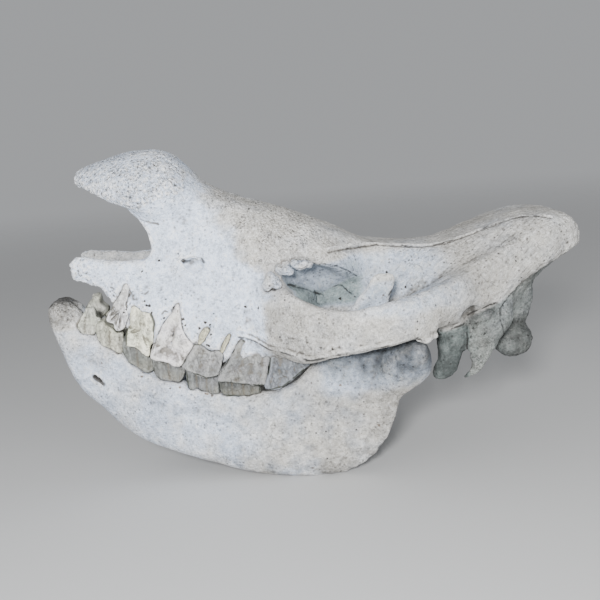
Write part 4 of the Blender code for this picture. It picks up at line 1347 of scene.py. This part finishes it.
def tooth_blank(name, entry, outer_at, rise):
    """A tooth's plain closed form on the left side, from its outline and the y of its outer wall."""
    outline, outer, inner, slope, _, _ = entry
    ring = curve_through([(x, z + rise) for x, z in outline], FINE_STEPS, closed=True)
    middle_x = sum(x for x, _ in ring) / len(ring)
    middle_z = sum(z for _, z in ring) / len(ring)
    upper = name.startswith("upper")
    heights = [z for _, z in ring]
    low, high = min(heights), max(heights)
    wide = abs(outer - inner)
    # From the outer wall to the inner one: size of the outline, and depth in millimetres.
    levels = [
        (0.5, 0), (0.86, 0.1), (0.93, 0.5), (0.975, 1.4), (1.0, 2.8), (1.0, 5.5),
        (0.97, 0.5 * wide), (0.9, wide - 6), (0.82, wide - 2.5), (0.66, wide - 0.8), (0.3, wide),
    ]
    rings = []
    for grow, depth in levels:
        places = []
        for x, z in ring:
            x = middle_x + (x - middle_x) * grow
            z = middle_z + (z - middle_z) * grow
            bite = (high - z) / (high - low) if upper else (z - low) / (high - low)
            lift = depth * slope * min(max(bite * 2 - 0.7, 0), 1)
            places.append((x, outer_at(x, z) + depth, z + lift))
        rings.append(places)
    return loft(name, rings)


def tooth_relief(obj, ridges, seed, rise, flaky):
    """Ridges, furrows, flakes and splits of one tooth."""
    points, facing = read_points(obj)
    side_view = np.stack([points[:, 0], points[:, 2] - rise], axis=1)
    wall = ramp(-facing[:, 1], 0.15, 0.7)
    push = 0.7 * noise(points, 11, seed) + 0.35 * noise(points, 4, seed + 3)
    # Flakes that stand a little higher or lower than their neighbours.
    for size, height in ((15, 1.0), (7, 0.55)):
        _, number = cells(points * np.array([1, 1, 0.6]) + 2.0 * noise(points, 6, seed + 5)[:, None],
                          size, seed + size)
        patchy = 0.35 + 0.65 * ramp(noise(points, 20, seed + 7), -0.3, 0.3)
        push += flaky * height * (number - 0.5) * patchy
    for x0, z0, x1, z1, height, width in ridges:
        push += wall * height * bell(from_line(side_view, [(x0, z0), (x1, z1)]), width)
    stretched = points * np.array([1, 1, 0.18])
    split = np.abs(noise(stretched, 6, seed + 9))
    push -= 0.7 * (1 - ramp(split, 0.0, 0.06)) * ramp(noise(points, 14, seed + 11), 0.0, 0.3)
    write_points(obj, points + facing * push[:, None])


class SKULL_OT_teeth(bpy.types.Operator):
    """Make the twelve cheek teeth and the two bare roots of each side, as pieces of their own"""

    bl_idname = "skull.teeth"
    bl_label = "Teeth"

    def execute(self, context):
        settings = context.scene.skull_teeth
        cranium = bpy.data.objects.get("cranium")
        if cranium is None:
            raise RuntimeError("The upper skull has to be made before the teeth")
        tree = shape_tree(cranium)
        material = tooth_material("tooth", settings)
        for number, (name, entry) in enumerate(TEETH.items()):
            outer = entry[1]

            def outer_at(x, z):
                if name in FOLLOWS_BONE:
                    hit = tree.ray_cast(Vector((x, -250, z)) * MM, Vector((0, 1, 0)), 0.2)[0]
                    if hit is not None and abs(hit.y / MM - outer) < WALL_REACH:
                        return hit.y / MM - PROUD
                return outer

            for side in ("left", "right"):
                rise = RIGHT_FRONT_RISE if (name, side) == ("lower_1", "right") else 0
                tooth = tooth_blank(name, entry, outer_at, rise)
                remesh(tooth, settings.voxel, SOFTEN_ROUNDS)
                tooth_relief(tooth, entry[4], 40 + number * 2 + (side == "right"), rise,
                             FLAKY.get(name, PLAIN_FLAKES))
                thin_out(tooth, settings.triangles)
                if side == "right":
                    tooth = flipped(tooth)
                tooth.name = f"tooth_{name}_{side}"
                tooth.data.materials.append(material)
                self.colour(tooth, name, entry, number + 50 * (side == "right"), rise)
        return {"FINISHED"}

    def colour(self, tooth, name, entry, seed, rise):
        """Stores how near each corner is to the biting edge, the root and the rim, and the colour. The
        open value is painted shade along the rim, where the tooth meets its socket and its neighbours,
        together with the stains.
        """
        points, _ = read_points(tooth)
        outline = [(x, z + rise) for x, z in entry[0]]
        rim = from_line(points[:, [0, 2]], outline + outline[:1])
        heights = points[:, 2]
        share = (heights - heights.min()) / np.ptp(heights)
        bite = 1 - share if name.startswith("upper") else share
        dent = 0.5 + 0.8 * dent_depth(tooth, 4) + 0.10 * dent_depth(tooth, 24)
        store(tooth, "dent", np.clip(dent, 0, 1))
        store(tooth, "bite", ramp(bite, 0.75, 1.0))
        store(tooth, "root", ramp(1 - bite, 0.45, 0.9))
        # Painted shade along the rim, weaker towards the biting edge, and then the stains.
        broken = 0.4 + 0.6 * ramp(noise(points, 9, seed + 80), -0.45, 0.2)
        free = 1 - 0.85 * bell(rim, 1.6) * (1 - 0.75 * ramp(bite, 0.6, 0.9)) * broken
        for line, width in TOOTH_STAINS.get(name, []):
            free *= 1 - 0.95 * bell(from_line(points[:, [0, 2]], line), width)
        store(tooth, "open", free)
        patches = np.stack([noise(points, 18, seed + 70 + k) for k in range(3)], axis=1)
        shades = patches[:, :1] * 0.10 + patches * np.array([0.02, 0.01, 0.05])
        tones = np.clip(np.array(entry[5]) * (1 + shades), 0, 1)
        layer = tooth.data.attributes.new("tone", "FLOAT_COLOR", "POINT")
        full = np.concatenate([tones, np.ones((len(tones), 1))], axis=1)
        layer.data.foreach_set("color", full.astype(np.float32).ravel())


def boss_share(points):
    """1 on the rough seat of the front horn, 0 off it, with a clear border."""
    x, z = points[:, 0], points[:, 2]
    lower, rear = np.interp(x, *SEAT_FOOT), np.interp(z, *SEAT_REAR)
    ragged = 2.2 * noise(points, 9, 3) + noise(points, 3.5, 4)
    return ramp(z - lower + ragged, -1.0, 2.0) * ramp(rear - x + ragged, -1.5, 2.5)


def forehead_share(points, facing):
    """1 on the rough seat of the rear horn on the forehead."""
    x, y = points[:, 0], points[:, 1]
    far = np.sqrt(((x + 45) / 78) ** 2 + (y / 70) ** 2) + 0.18 * noise(points, 16, 5)
    return (1 - ramp(far, 0.75, 1.15)) * ramp(facing[:, 2], 0.1, 0.5)


def left_side(points):
    """The points as they lie on the left side, those of the right side mirrored."""
    return points * np.array([1, 0, 1]) - np.abs(points) * np.array([0, 1, 0])


def beyond_face(left):
    """0 on the smooth face, 1 behind its border with the forehead and the cheek."""
    border = np.interp(left[:, 2], *FACE_BORDER)
    high = ramp(left[:, 2], 300, 340)
    drift = 13 * noise(left, 26, 5) + 7 * noise(left, 12, 6) + 3 * noise(left, 5, 7)
    return ramp(left[:, 0] - border + drift, -15 - 4 * high, 17 + 8 * high)


def under_plate(left):
    """1 on the bones round the ear, under the line of the plate's lower edge."""
    edge = 207 + 0.52 * (left[:, 0] - 215)
    return ramp(left[:, 0], 152, 164) * (1 - ramp(left[:, 2] - edge, -3, 5))


def cranium_relief(points, facing, amount):
    """How far the skin of the upper skull is pushed out at each point."""
    left = left_side(points)
    x, y, z = left.T
    boss = boss_share(points)
    brow = forehead_share(points, facing)
    plain = 1 - 0.6 * np.maximum(boss, brow)
    push = plain * (1.1 * noise(points, 32, 1) + 0.55 * noise(points, 12, 2) + 0.25 * noise(points, 5, 3))
    # Seats of the horns: warts and pits on a low step, ragged along their lower border.
    wart, _ = cells(points, 7, 7)
    pit, number = cells(points, 4.4, 11)
    push += boss * (1.0 + (0.55 - wart) + 0.5 * noise(points, 5, 8))
    push -= boss * 1.3 * (1 - ramp(pit, 0.15, 0.5)) * ramp(number, 0.3, 0.6)
    border = bell(z - np.interp(x, *SEAT_FOOT) - 4, 9)
    push += boss * border * (1.2 * noise(points, 7, 21) + 0.9 * noise(points, 4, 22))
    push += brow * (0.7 * (0.5 - wart) + 0.6 * noise(points, 6, 9) + 0.4 * noise(points, 3.6, 10))
    push -= brow * (1 - ramp(pit, 0.15, 0.5)) * ramp(number, 0.5, 0.8)
    # Line of the chewing muscle along the roof: a narrow groove under a raised lip.
    push -= 2.0 * bell(from_line(left, TEMPLE_GROOVE), 2.4)
    push += 1.7 * bell(from_line(left - np.array([0, 4, 4.5]), TEMPLE_GROOVE), 3.6)
    push -= bell(from_line(left, TEMPLE_TOP), 2.2)
    # Edge of the neck crest, thick and knobbly.
    push += (1.0 + 1.6 * noise(points, 8, 13)) * bell(from_line(left, CREST_EDGE), 9)
    crest_top = ramp(x, 345, 372) * ramp(z, 290, 306)
    push += crest_top * (1.2 * noise(points, 9, 14) + 0.7 * noise(points, 4, 15))
    # Crest of the cheek where the chewing muscle starts, its scar and the lip of its lower edge.
    push += 2.2 * bell(from_line(left, CHEEK_CREST), 5)
    push -= 1.4 * bell(from_line(left - np.array([0, -4, 13]), CHEEK_CREST), 8)
    push += 1.3 * bell(from_line(left, CHEEK_SCAR), 4) * (0.4 + 1.6 * noise(points, 6, 23))
    push -= 1.2 * bell(from_line(left - np.array([0, 0, 5]), CHEEK_FOOT), 2.4)
    push += (1.0 + 1.2 * noise(points, 6, 24)) * bell(from_line(left, CHEEK_FOOT), 4)
    for crack in FACE_CRACKS:
        push -= 1.6 * bell(from_line(left, crack), 1.7)
    # Bones round the ear, lumpy and worn.
    push += under_plate(left) * (noise(points, 8, 25) + 0.6 * noise(points, 4, 26))
    # Roots that swell the bone over the teeth.
    for line, width, height in ROOTS_BELOW_SKIN:
        push += height * bell(from_line(left, line), width)
    # Streaks of the muscle's bed, from the ear up to the crest.
    bed = between(x, 110, 190, 330, 372) * ramp(-y, 45, 60) * ramp(z, 225, 250)
    turned = np.stack([x * 0.74 + z * 0.67, y, -x * 0.67 + z * 0.74], axis=1)
    push += bed * 0.7 * noise(turned * np.array([0.16, 1, 1]), 6, 16)
    # Rough underside and back of the neck.
    back = ramp(x, 268, 300) * ramp(-facing[:, 2] + facing[:, 0], 0.3, 0.9)
    push += back * (0.9 * noise(points, 12, 17) + 0.6 * noise(points, 5, 18))
    # Weathered front end and broken lower edge of the front of the upper jaw.
    tip = 1 - ramp(x, -326, -300)
    ragged = (1 - ramp(x, -262, -240)) * (1 - ramp(z, 284, 302))
    push += np.maximum(tip, ragged) * (2.4 * noise(points, 9, 19) + 2.0 * noise(points, 4.4, 20))
    return push * amount


def near_pieces(points, reach, starts):
    """Distance of each point from the nearest piece, up to a reach, for names that start so."""
    best = np.full(len(points), float(reach))
    for obj in bpy.data.objects:
        if not obj.name.startswith(starts):
            continue
        others, _ = read_points(obj)
        low, high = others.min(axis=0) - reach, others.max(axis=0) + reach
        close = np.nonzero(((points > low) & (points < high)).all(axis=1))[0]
        if not len(close):
            continue
        tree = shape_tree(obj)
        for i in close:
            place, normal, _, far = tree.find_nearest(points[i] * MM, reach * MM)
            if place is not None:
                inside = (Vector(points[i] * MM) - place).dot(normal) < 0
                best[i] = min(best[i], -far / MM if inside else far / MM)
    return best


def sunk_beside(points, facing, starts, depth):
    """The points, sunk by a depth round the pieces whose names start so."""
    gap = near_pieces(points, MOAT_REACH, starts)
    return points - facing * (depth * (1 - ramp(gap, 0.3, 2.8)))[:, None]


def painted_gap_shade(gap, left):
    """Painted shade: 1 close beside a piece, weaker here and there along it."""
    return (1 - ramp(gap, 0.2, 1.7)) * (0.5 + 0.5 * ramp(noise(left, 9, 73), -0.4, 0.25))


def pore_tree():
    """Scatters small balls over a skin where its attribute says so."""
    tree = bpy.data.node_groups.new("pores", "GeometryNodeTree")
    for name, kind in (("Skin", "Geometry"), ("Density", "Float"), ("Spacing", "Float"),
                       ("Size", "Float"), ("Seed", "Int"), ("Material", "Material")):
        tree.interface.new_socket(name, in_out="INPUT", socket_type=f"NodeSocket{kind}")
    tree.interface.new_socket("Balls", in_out="OUTPUT", socket_type="NodeSocketGeometry")
    given, result, zone, scatter, shape, vary, put, real, paint = (tree.nodes.new(kind) for kind in (
        "NodeGroupInput", "NodeGroupOutput", "GeometryNodeInputNamedAttribute",
        "GeometryNodeDistributePointsOnFaces", "GeometryNodeMeshIcoSphere", "FunctionNodeRandomValue",
        "GeometryNodeInstanceOnPoints", "GeometryNodeRealizeInstances", "GeometryNodeSetMaterial"))
    zone.data_type = "FLOAT"
    zone.inputs["Name"].default_value = "pore_zone"
    scatter.distribute_method = "POISSON"
    shape.inputs["Subdivisions"].default_value = 2
    vary.data_type = "FLOAT_VECTOR"
    vary.inputs[0].default_value = (0.55, 0.55, 0.8)
    vary.inputs[1].default_value = (1.5, 1.15, 1.5)
    for start, output, end, socket in (
        (given, "Skin", scatter, "Mesh"), (given, "Density", scatter, "Density Max"),
        (given, "Spacing", scatter, "Distance Min"), (zone, "Attribute", scatter, "Density Factor"),
        (given, "Seed", scatter, "Seed"), (given, "Size", shape, "Radius"),
        (given, "Seed", vary, "Seed"), (scatter, "Points", put, "Points"),
        (scatter, "Rotation", put, "Rotation"), (shape, "Mesh", put, "Instance"),
        (vary, 0, put, "Scale"), (put, "Instances", real, "Geometry"),
        (real, "Geometry", paint, "Geometry"), (given, "Material", paint, "Material"),
        (paint, "Geometry", result, "Balls"),
    ):
        tree.links.new(start.outputs[output], end.inputs[socket])
    return tree


def open_pores(obj, zone, look, material, seed):
    """Cuts scattered pores into a bone. Gives their middles and half widths in millimetres."""
    store(obj, "pore_zone", zone)
    balls = obj.copy()
    balls.data = obj.data.copy()
    bpy.context.scene.collection.objects.link(balls)
    step = balls.modifiers.new("pores", "NODES")
    step.node_group = pore_tree()
    values = {"Density": look.pore_density, "Spacing": look.pore_size * 2.2, "Size": look.pore_size,
              "Seed": seed, "Material": material}
    for item in step.node_group.interface.items_tree:
        if item.name in values and item.in_out == "INPUT":
            step[item.identifier] = values[item.name]
    settle(balls)
    corners = read_points(balls)[0].reshape(-1, BALL_CORNERS, 3)
    middles = corners.mean(axis=1)
    halves = np.linalg.norm(corners - middles[:, None], axis=2).mean(axis=1)
    cut(obj, [balls])
    return middles, halves


def in_pores(points, middles, halves):
    """1 inside a pore, 0 away from all."""
    tree = KDTree(len(middles))
    for i, middle in enumerate(middles):
        tree.insert(middle, i)
    tree.balance()
    deep = np.zeros(len(points))
    for i, point in enumerate(points):
        _, index, far = tree.find(point)
        if index is not None and far < 1.25 * halves[index]:
            deep[i] = 1.0
    return deep


class SKULL_OT_eye_knobs(bpy.types.Operator):
    """Make the rough knobs on the rims of the eyes, each one a piece of its own"""

    bl_idname = "skull.eye_knobs"
    bl_label = "Eye Knobs"

    def execute(self, context):
        look = context.scene.skull_bone
        for number, lumps in enumerate(EYE_KNOBS, 1):
            for side in ("left", "right"):
                seed = 90 + number * 2 + (side == "right")
                knob = join("knob", [ball("lump", *lump, fineness=3) for lump in lumps])
                remesh(knob, MM, 2)
                points, facing = read_points(knob)
                pit, which = cells(points, 4.5, seed)
                push = 1.5 * noise(points, 9, seed) + 0.9 * noise(points, 4, seed + 1)
                push -= 0.9 * (1 - ramp(pit, 0.1, 0.5)) * ramp(which, 0.4, 0.7)
                write_points(knob, points + facing * (push * look.relief)[:, None])
                if side == "right":
                    knob = flipped(knob)
                knob.name = f"knob_eye_{number}_{side}"
        return {"FINISHED"}


class SKULL_OT_cranium_surface(bpy.types.Operator):
    """Give the upper skull and its knobs their relief, pores, worn zones, painted shade and material"""

    bl_idname = "skull.cranium_surface"
    bl_label = "Upper Skull Surface"

    def execute(self, context):
        look = context.scene.skull_bone
        cranium = bpy.data.objects.get("cranium")
        if cranium is None or not any(o.name.startswith("tooth_") for o in bpy.data.objects):
            raise RuntimeError("The upper skull and the teeth have to be made before its surface")
        material = bone_material("skull_bone", look)
        points, facing = read_points(cranium)
        points = points + facing * cranium_relief(points, facing, look.relief)[:, None]
        write_points(cranium, sunk_beside(points, facing, ("tooth_upper", "knob"), 1.9))
        thin_out(cranium, 2 * look.triangles)

        points, facing = read_points(cranium)
        left = left_side(points)
        above_teeth = bell(from_line(left, ROWS_ABOVE_TEETH), 17) * ramp(-left[:, 1], 60, 70)
        eye_front = 0.6 * bell(from_line(left, [(-96, -104, 250), (-84, -108, 258)]), 12)
        zone = np.maximum(above_teeth, eye_front) * ramp(noise(points, 22, 21), -0.25, 0.3)
        zone += 0.06 * forehead_share(points, facing) + 0.005
        middles, halves = open_pores(cranium, np.clip(zone, 0, 1), look, material, 11)
        corners = [(-500, -200), (500, -200), (500, 700), (-500, 700)]
        for side, other_side in (("left", (0, 400)), ("right", (-400, 0))):
            half = cranium.copy()
            half.data = cranium.data.copy()
            half.name = f"cranium_{side}"
            context.scene.collection.objects.link(half)
            cut(half, [prism("other_side", corners, *other_side)])
            self.wear_and_shade(half, middles, halves)
            finish_shape(half, material)
            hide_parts(*(f"{name}_{side}" for name in PAIRED_NODES), *MIDDLE_NODES)
        bpy.data.objects.remove(cranium, do_unlink=True)
        for knob in [obj for obj in bpy.data.objects if obj.name.startswith("knob_")]:
            points, facing = read_points(knob)
            keep_wear_and_shade(knob, {
                "warm": 0.5 + 0.5 * noise(points, 20, 35),
                "pitted": np.full(len(points), 0.5),
                "light": 0.78 + 0.12 * noise(points, 12, 36),
                # The stain on their undersides is painted shade under the knobs.
                "stain": 0.35 * ramp(-facing[:, 2], 0.2, 0.9),
            })
            finish_shape(knob, material)
        return {"FINISHED"}

    def wear_and_shade(self, half, middles, halves):
        """Stores where the bone is warm, pitted, stained, green or streaked, and where shade is painted on
        it.
        """
        points, facing = read_points(half)
        left = left_side(points)
        x, y, z = left.T
        boss, beyond, ear = boss_share(points), beyond_face(left), under_plate(left)
        brow = beyond * ramp(z, 298, 318) * (1 - ramp(x, 0, 70))
        roof = ramp(facing[:, 2], 0.2, 0.7) * ramp(z, 296, 306)
        wall = between(x, 35, 75, 150, 220) * between(z, 232, 250, 302, 316)
        # Inside of the eye hollow, and the strong spike behind the jaw joint.
        eye = between(x, -50, -36, 60, 84) * between(z, 228, 246, 300, 311) * (1 - ramp(-y, 94, 106))
        eye_floor = eye * (1 - ramp(z - 0.45 * np.abs(x - 20), 252, 262))
        spike = between(x, 150, 158, 214, 222) * (1 - ramp(z, 188, 204)) * ramp(-y, 66, 74)
        # Front of the cheek, the hollow over the ear, and the inner faces beside the nose; the last two
        # get painted shade, on the inner faces brownish.
        cheek = beyond * (1 - ramp(x, -10, 50)) * (1 - ramp(z, 240, 262))
        fossa = on_lines(left, [([(214, -108, 204), (232, -110, 213), (250, -114, 221)], 8)])
        inward = ramp(facing[:, 1] * -np.sign(points[:, 1]), 0.1, 0.6)
        inner = (1 - ramp(x, -236, -222)) * ramp(z, 290, 312) * inward
        gap = near_pieces(points, STAIN_REACH, ("tooth_upper", "knob"))
        holes = in_pores(points, middles, halves)
        keep_wear_and_shade(half, {
            "warm": np.clip(0.06 + 0.74 * beyond - 0.55 * wall + 0.15 * boss - eye + 0.6 * inner
                            + 0.22 * fractal(points, 60, 3, 22), 0, 1),
            "pitted": np.clip(0.85 * boss + 0.5 * brow + 0.3 * roof + 0.15 * beyond + 0.3 * ear
                              + 0.4 * cheek - spike - eye, 0, 1),
            "stain": np.clip(0.75 * (1 - ramp(gap, 0.5, 5)) + holes + 0.3 * inner, 0, 1),
            "green": np.clip(0.65 * ear + 0.35 * eye + 0.75 * eye_floor + 0.25 * wall + spike, 0, 1),
            "fan": ramp(x, 60, 150) * ramp(z, 238, 262),
            # Painted shade along the lines, inside the pores and close beside the teeth and knobs.
            "dark": np.maximum(np.maximum(on_lines(left, PAINTED_SHADE_LINES), holes), painted_gap_shade(gap, left)),
            # Partly the bone's own lightness and partly painted shade: darker inside the eye hollow, round
            # the ear under the plate, on the spike under the plate, in the hollow over the ear and on the
            # inner faces beside the nose; lighter where the roof faces up.
            "light": np.clip(1.07 - 0.36 * beyond - 0.06 * boss - 0.08 * ramp(x, 120, 240) - 0.27 * ear
                             - 0.24 * spike + 0.14 * roof * beyond + 0.12 * ramp(x, 340, 380) - 0.22 * eye
                             - 0.18 * ramp(x, 262, 276) * (1 - ramp(z, 186, 204)) + 0.12 * wall
                             - 0.06 * cheek - 0.2 * fossa - 0.45 * inner
                             - 0.16 * (1 - ramp(gap, 2, 10)) * ramp(x, -170, -130)
                             + 0.12 * noise(points, 45, 27) + 0.10 * noise(points, 16, 28)
                             + 0.06 * noise(points, 6, 29), 0.12, 1.2),
        }, np.maximum(np.maximum(0.85 * eye, 0.8 * ear),
                      bell(from_line(left, [(-166, -74, 316), (-158, -74, 312)]), 14)))


def jaw_relief(points, facing, amount):
    """How far the skin of the lower jaw is pushed out at each point."""
    left = left_side(points)
    x, y, z = left.T
    push = 1.1 * noise(points, 34, 51) + 0.5 * noise(points, 12, 52) + 0.2 * noise(points, 5, 53)
    # Bed of the chewing muscle on the outer side, with scars along the angle.
    off_middle = np.sqrt(((x - 45) / 52) ** 2 + ((z - 118) / 58) ** 2)
    push -= 2.4 * (bell(off_middle, 1.0) * ramp(-facing[:, 1], 0.3, 0.8))
    scar = bell(from_line(left, JAW_ANGLE), 24)
    turned = np.stack([x * 0.5 + z * 0.87, y, -x * 0.87 + z * 0.5], axis=1)
    push += scar * (1.5 * noise(turned * np.array([1, 1, 0.3]), 9, 54) + 0.8 * noise(points, 4.6, 55))
    # Weathered front end.
    tip = (1 - ramp(x, -356, -328)) * ramp(z, 222, 244)
    push += tip * (1.6 * noise(points, 9, 56) + noise(points, 4.6, 57))
    return push * amount


class SKULL_OT_mandible_surface(bpy.types.Operator):
    """Give the lower jaw its relief, pores, worn zones, painted shade and material"""

    bl_idname = "skull.mandible_surface"
    bl_label = "Lower Jaw Surface"

    def execute(self, context):
        look = context.scene.skull_bone
        jaw = bpy.data.objects.get("mandible")
        if jaw is None or not any(o.name.startswith("tooth_") for o in bpy.data.objects):
            raise RuntimeError("The lower jaw and the teeth have to be made before its surface")
        material = bone_material("jaw_bone", look)
        points, facing = read_points(jaw)
        points = points + facing * jaw_relief(points, facing, look.relief)[:, None]
        points = sunk_beside(points, facing, "tooth_lower", 1.8)
        points[:, 2] = np.maximum(points[:, 2], -SHIFT.z / MM)
        write_points(jaw, points)
        thin_out(jaw, look.triangles)

        points, _ = read_points(jaw)
        below_teeth = from_line(left_side(points), ROWS_BELOW_TEETH)
        zone = 0.13 * (1 - ramp(below_teeth, 8, 24)) * ramp(noise(points, 22, 61), 0.0, 0.4) + 0.004
        middles, halves = open_pores(jaw, np.clip(zone, 0, 1), look, material, 12)

        points, _ = read_points(jaw)
        left = left_side(points)
        x, y, z = left.T
        gap = near_pieces(points, STAIN_REACH, "tooth_lower")
        patchy = ramp(noise(points, 26, 62) + 0.5 * noise(points, 9, 63), -0.1, 0.5)
        worn = (1 - ramp(from_line(left, JAW_FOOT), 10, 42)) * patchy
        tip = (1 - ramp(x, -362, -330)) * ramp(z, 226, 246)
        behind = ramp(x, -20, 20) * ramp(z, 110, 150)
        hook = ramp(z, 272, 284)
        keep_wear_and_shade(jaw, {
            "warm": np.clip(0.3 + 0.45 * ramp(x, -220, 40) - 0.7 * behind + 0.9 * tip + 0.9 * hook
                            + 0.4 * fractal(points, 60, 3, 64), 0, 1),
            "pitted": np.clip(0.9 * tip + 0.5 * worn + 0.1, 0, 1),
            "stain": np.clip(0.75 * (1 - ramp(gap, 0.5, 5)) + in_pores(points, middles, halves)
                             + 0.45 * worn + 0.45 * tip, 0, 1),
            "green": 0.35 * behind,
            "fan": 0.35 * behind,
            # Painted shade along the lines and close beside the lower teeth.
            "dark": np.maximum(on_lines(left, JAW_PAINTED_SHADE_LINES), painted_gap_shade(gap, left)),
            # Partly the jaw's own lightness and partly painted shade: darker on the top of the ramus under
            # the cheek, and darker towards the inner side of the tip.
            "light": np.clip(0.80 - 0.24 * ramp(x, -200, 60) - 0.14 * worn
                             - 0.38 * behind * between(z, 128, 168, 188, 208) - 0.38 * tip
                             - 0.4 * tip * ramp(-y, 30, 18) + 0.18 * ramp(z, 200, 225) * behind
                             + 0.14 * noise(points, 45, 65) + 0.17 * noise(points, 15, 66)
                             + 0.11 * noise(points, 6, 67), 0.12, 1.1),
        })
        finish_shape(jaw, material)
        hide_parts("mandible_left", "mandible_right")
        return {"FINISHED"}


class SKULL_OT_teeth_surface(bpy.types.Operator):
    """Set the teeth in place and give them their material"""

    bl_idname = "skull.teeth_surface"
    bl_label = "Teeth Surface"

    def execute(self, context):
        material = bpy.data.materials.get("tooth")
        rows = [obj for obj in bpy.data.objects if obj.name.startswith("tooth_")]
        if not rows or material is None:
            raise RuntimeError("The teeth have to be made before their surface")
        for tooth in rows:
            finish_shape(tooth, material, 60)
        return {"FINISHED"}


# Size of each lamp, its place and its colour, and the place that both shine on, in metres
LAMPS = {
    "key": (0.30, (-0.36, -2.0, 0.86), (0.99, 0.995, 1.0)),
    "fill": (1.4, (0.9, -1.9, 0.8), (0.95, 0.975, 1.0)),
}
LAMP_AIM = (0, 0, 0.22)
# The camera: degrees turned right, tipped down and rolled, and its place in metres
CAMERA_TURN = (3.0, 10.5, 4.6)
CAMERA_AWAY, CAMERA_ASIDE, CAMERA_UP = 1.34, 0.012, 0.487


class SKULL_OT_stage(bpy.types.Operator):
    """Make the floor, the lights and the camera"""

    bl_idname = "skull.stage"
    bl_label = "Studio"

    def execute(self, context):
        stage = context.scene.skull_stage
        bm = bmesh.new()
        bmesh.ops.create_grid(bm, x_segments=2, y_segments=2, size=stage.floor_width / 2)
        floor = new_object("floor", bm)
        s = Surface("floor")
        cloud = s.noise(3, 2)
        away = s.node("ShaderNodeVectorMath", {"operation": "LENGTH"}, {0: s.place})["Value"]
        s.plug(s.shader.inputs["Alpha"], 1 - away.ramp(stage.clear_width, stage.fade_width))
        floor.data.materials.append(s.finish(
            s.mix(stage.floor, [0.97 * c for c in stage.floor], cloud), 0.8, s.bump(cloud, 0.0001)))

        world = bpy.data.worlds.new("surroundings")
        world.use_nodes = True
        background = world.node_tree.nodes["Background"]
        background.inputs["Color"].default_value = (0.93, 0.95, 0.98, 1)
        background.inputs["Strength"].default_value = stage.sky
        context.scene.world = world

        for name, (size, place, colour) in LAMPS.items():
            light = bpy.data.lights.new(name, "AREA")
            light.energy = getattr(stage, name)
            light.size = size
            light.color = colour
            lamp = bpy.data.objects.new(name, light)
            lamp.location = place
            ray = Vector(LAMP_AIM) - lamp.location
            lamp.rotation_euler = ray.to_track_quat("-Z", "Y").to_euler()
            context.scene.collection.objects.link(lamp)

        camera_data = bpy.data.cameras.new("camera")
        camera_data.lens = stage.lens
        camera_data.sensor_width = 36.0
        camera = bpy.data.objects.new("camera", camera_data)
        yaw, pitch, roll = (math.radians(angle) for angle in CAMERA_TURN)
        flat = Vector((math.sin(yaw), math.cos(yaw), 0))
        forward = flat * math.cos(pitch) - Vector((0, 0, math.sin(pitch)))
        level = Vector((math.cos(yaw), -math.sin(yaw), 0))
        down = forward.cross(level)
        right = level * math.cos(roll) + down * math.sin(roll)
        down = down * math.cos(roll) - level * math.sin(roll)
        turn = Matrix((right, -down, -forward)).transposed().to_4x4()
        place = Vector((-math.tan(yaw) * CAMERA_AWAY - CAMERA_ASIDE, -CAMERA_AWAY, CAMERA_UP)) + SHIFT
        camera.matrix_world = Matrix.Translation(place) @ turn
        context.scene.collection.objects.link(camera)
        context.scene.camera = camera
        return {"FINISHED"}


class SKULL_PT_panel(bpy.types.Panel):
    """Buttons and settings of the skull"""

    bl_label = "Rhinoceros Skull"
    bl_idname = "SKULL_PT_panel"
    bl_space_type = "VIEW_3D"
    bl_region_type = "UI"
    bl_category = "Skull"

    def draw(self, context):
        layout = self.layout
        for operator in OPERATORS:
            layout.operator(operator.bl_idname)
        for group in (context.scene.skull_bone, context.scene.skull_teeth, context.scene.skull_stage):
            box = layout.box()
            for key in group.__annotations__:
                box.prop(group, key)


OPERATORS = (
    SKULL_OT_cranium, SKULL_OT_mandible, SKULL_OT_teeth, SKULL_OT_eye_knobs,
    SKULL_OT_cranium_surface, SKULL_OT_mandible_surface, SKULL_OT_teeth_surface, SKULL_OT_stage,
)
SETTINGS = {"skull_bone": BoneSettings, "skull_teeth": ToothSettings, "skull_stage": StageSettings}


def register():
    for group in SETTINGS.values():
        bpy.utils.register_class(group)
    for name, group in SETTINGS.items():
        setattr(bpy.types.Scene, name, PointerProperty(type=group))
    for cls in OPERATORS + (SKULL_PT_panel,):
        bpy.utils.register_class(cls)


def unregister():
    for cls in reversed(OPERATORS + (SKULL_PT_panel,)):
        bpy.utils.unregister_class(cls)
    for name, group in SETTINGS.items():
        delattr(bpy.types.Scene, name)
        bpy.utils.unregister_class(group)


def main():
    register()
    bpy.ops.skull.cranium()
    bpy.ops.skull.mandible()
    bpy.ops.skull.teeth()
    bpy.ops.skull.eye_knobs()
    bpy.ops.skull.cranium_surface()
    bpy.ops.skull.mandible_surface()
    bpy.ops.skull.teeth_surface()
    bpy.ops.skull.stage()


if __name__ == "__main__":
    main()
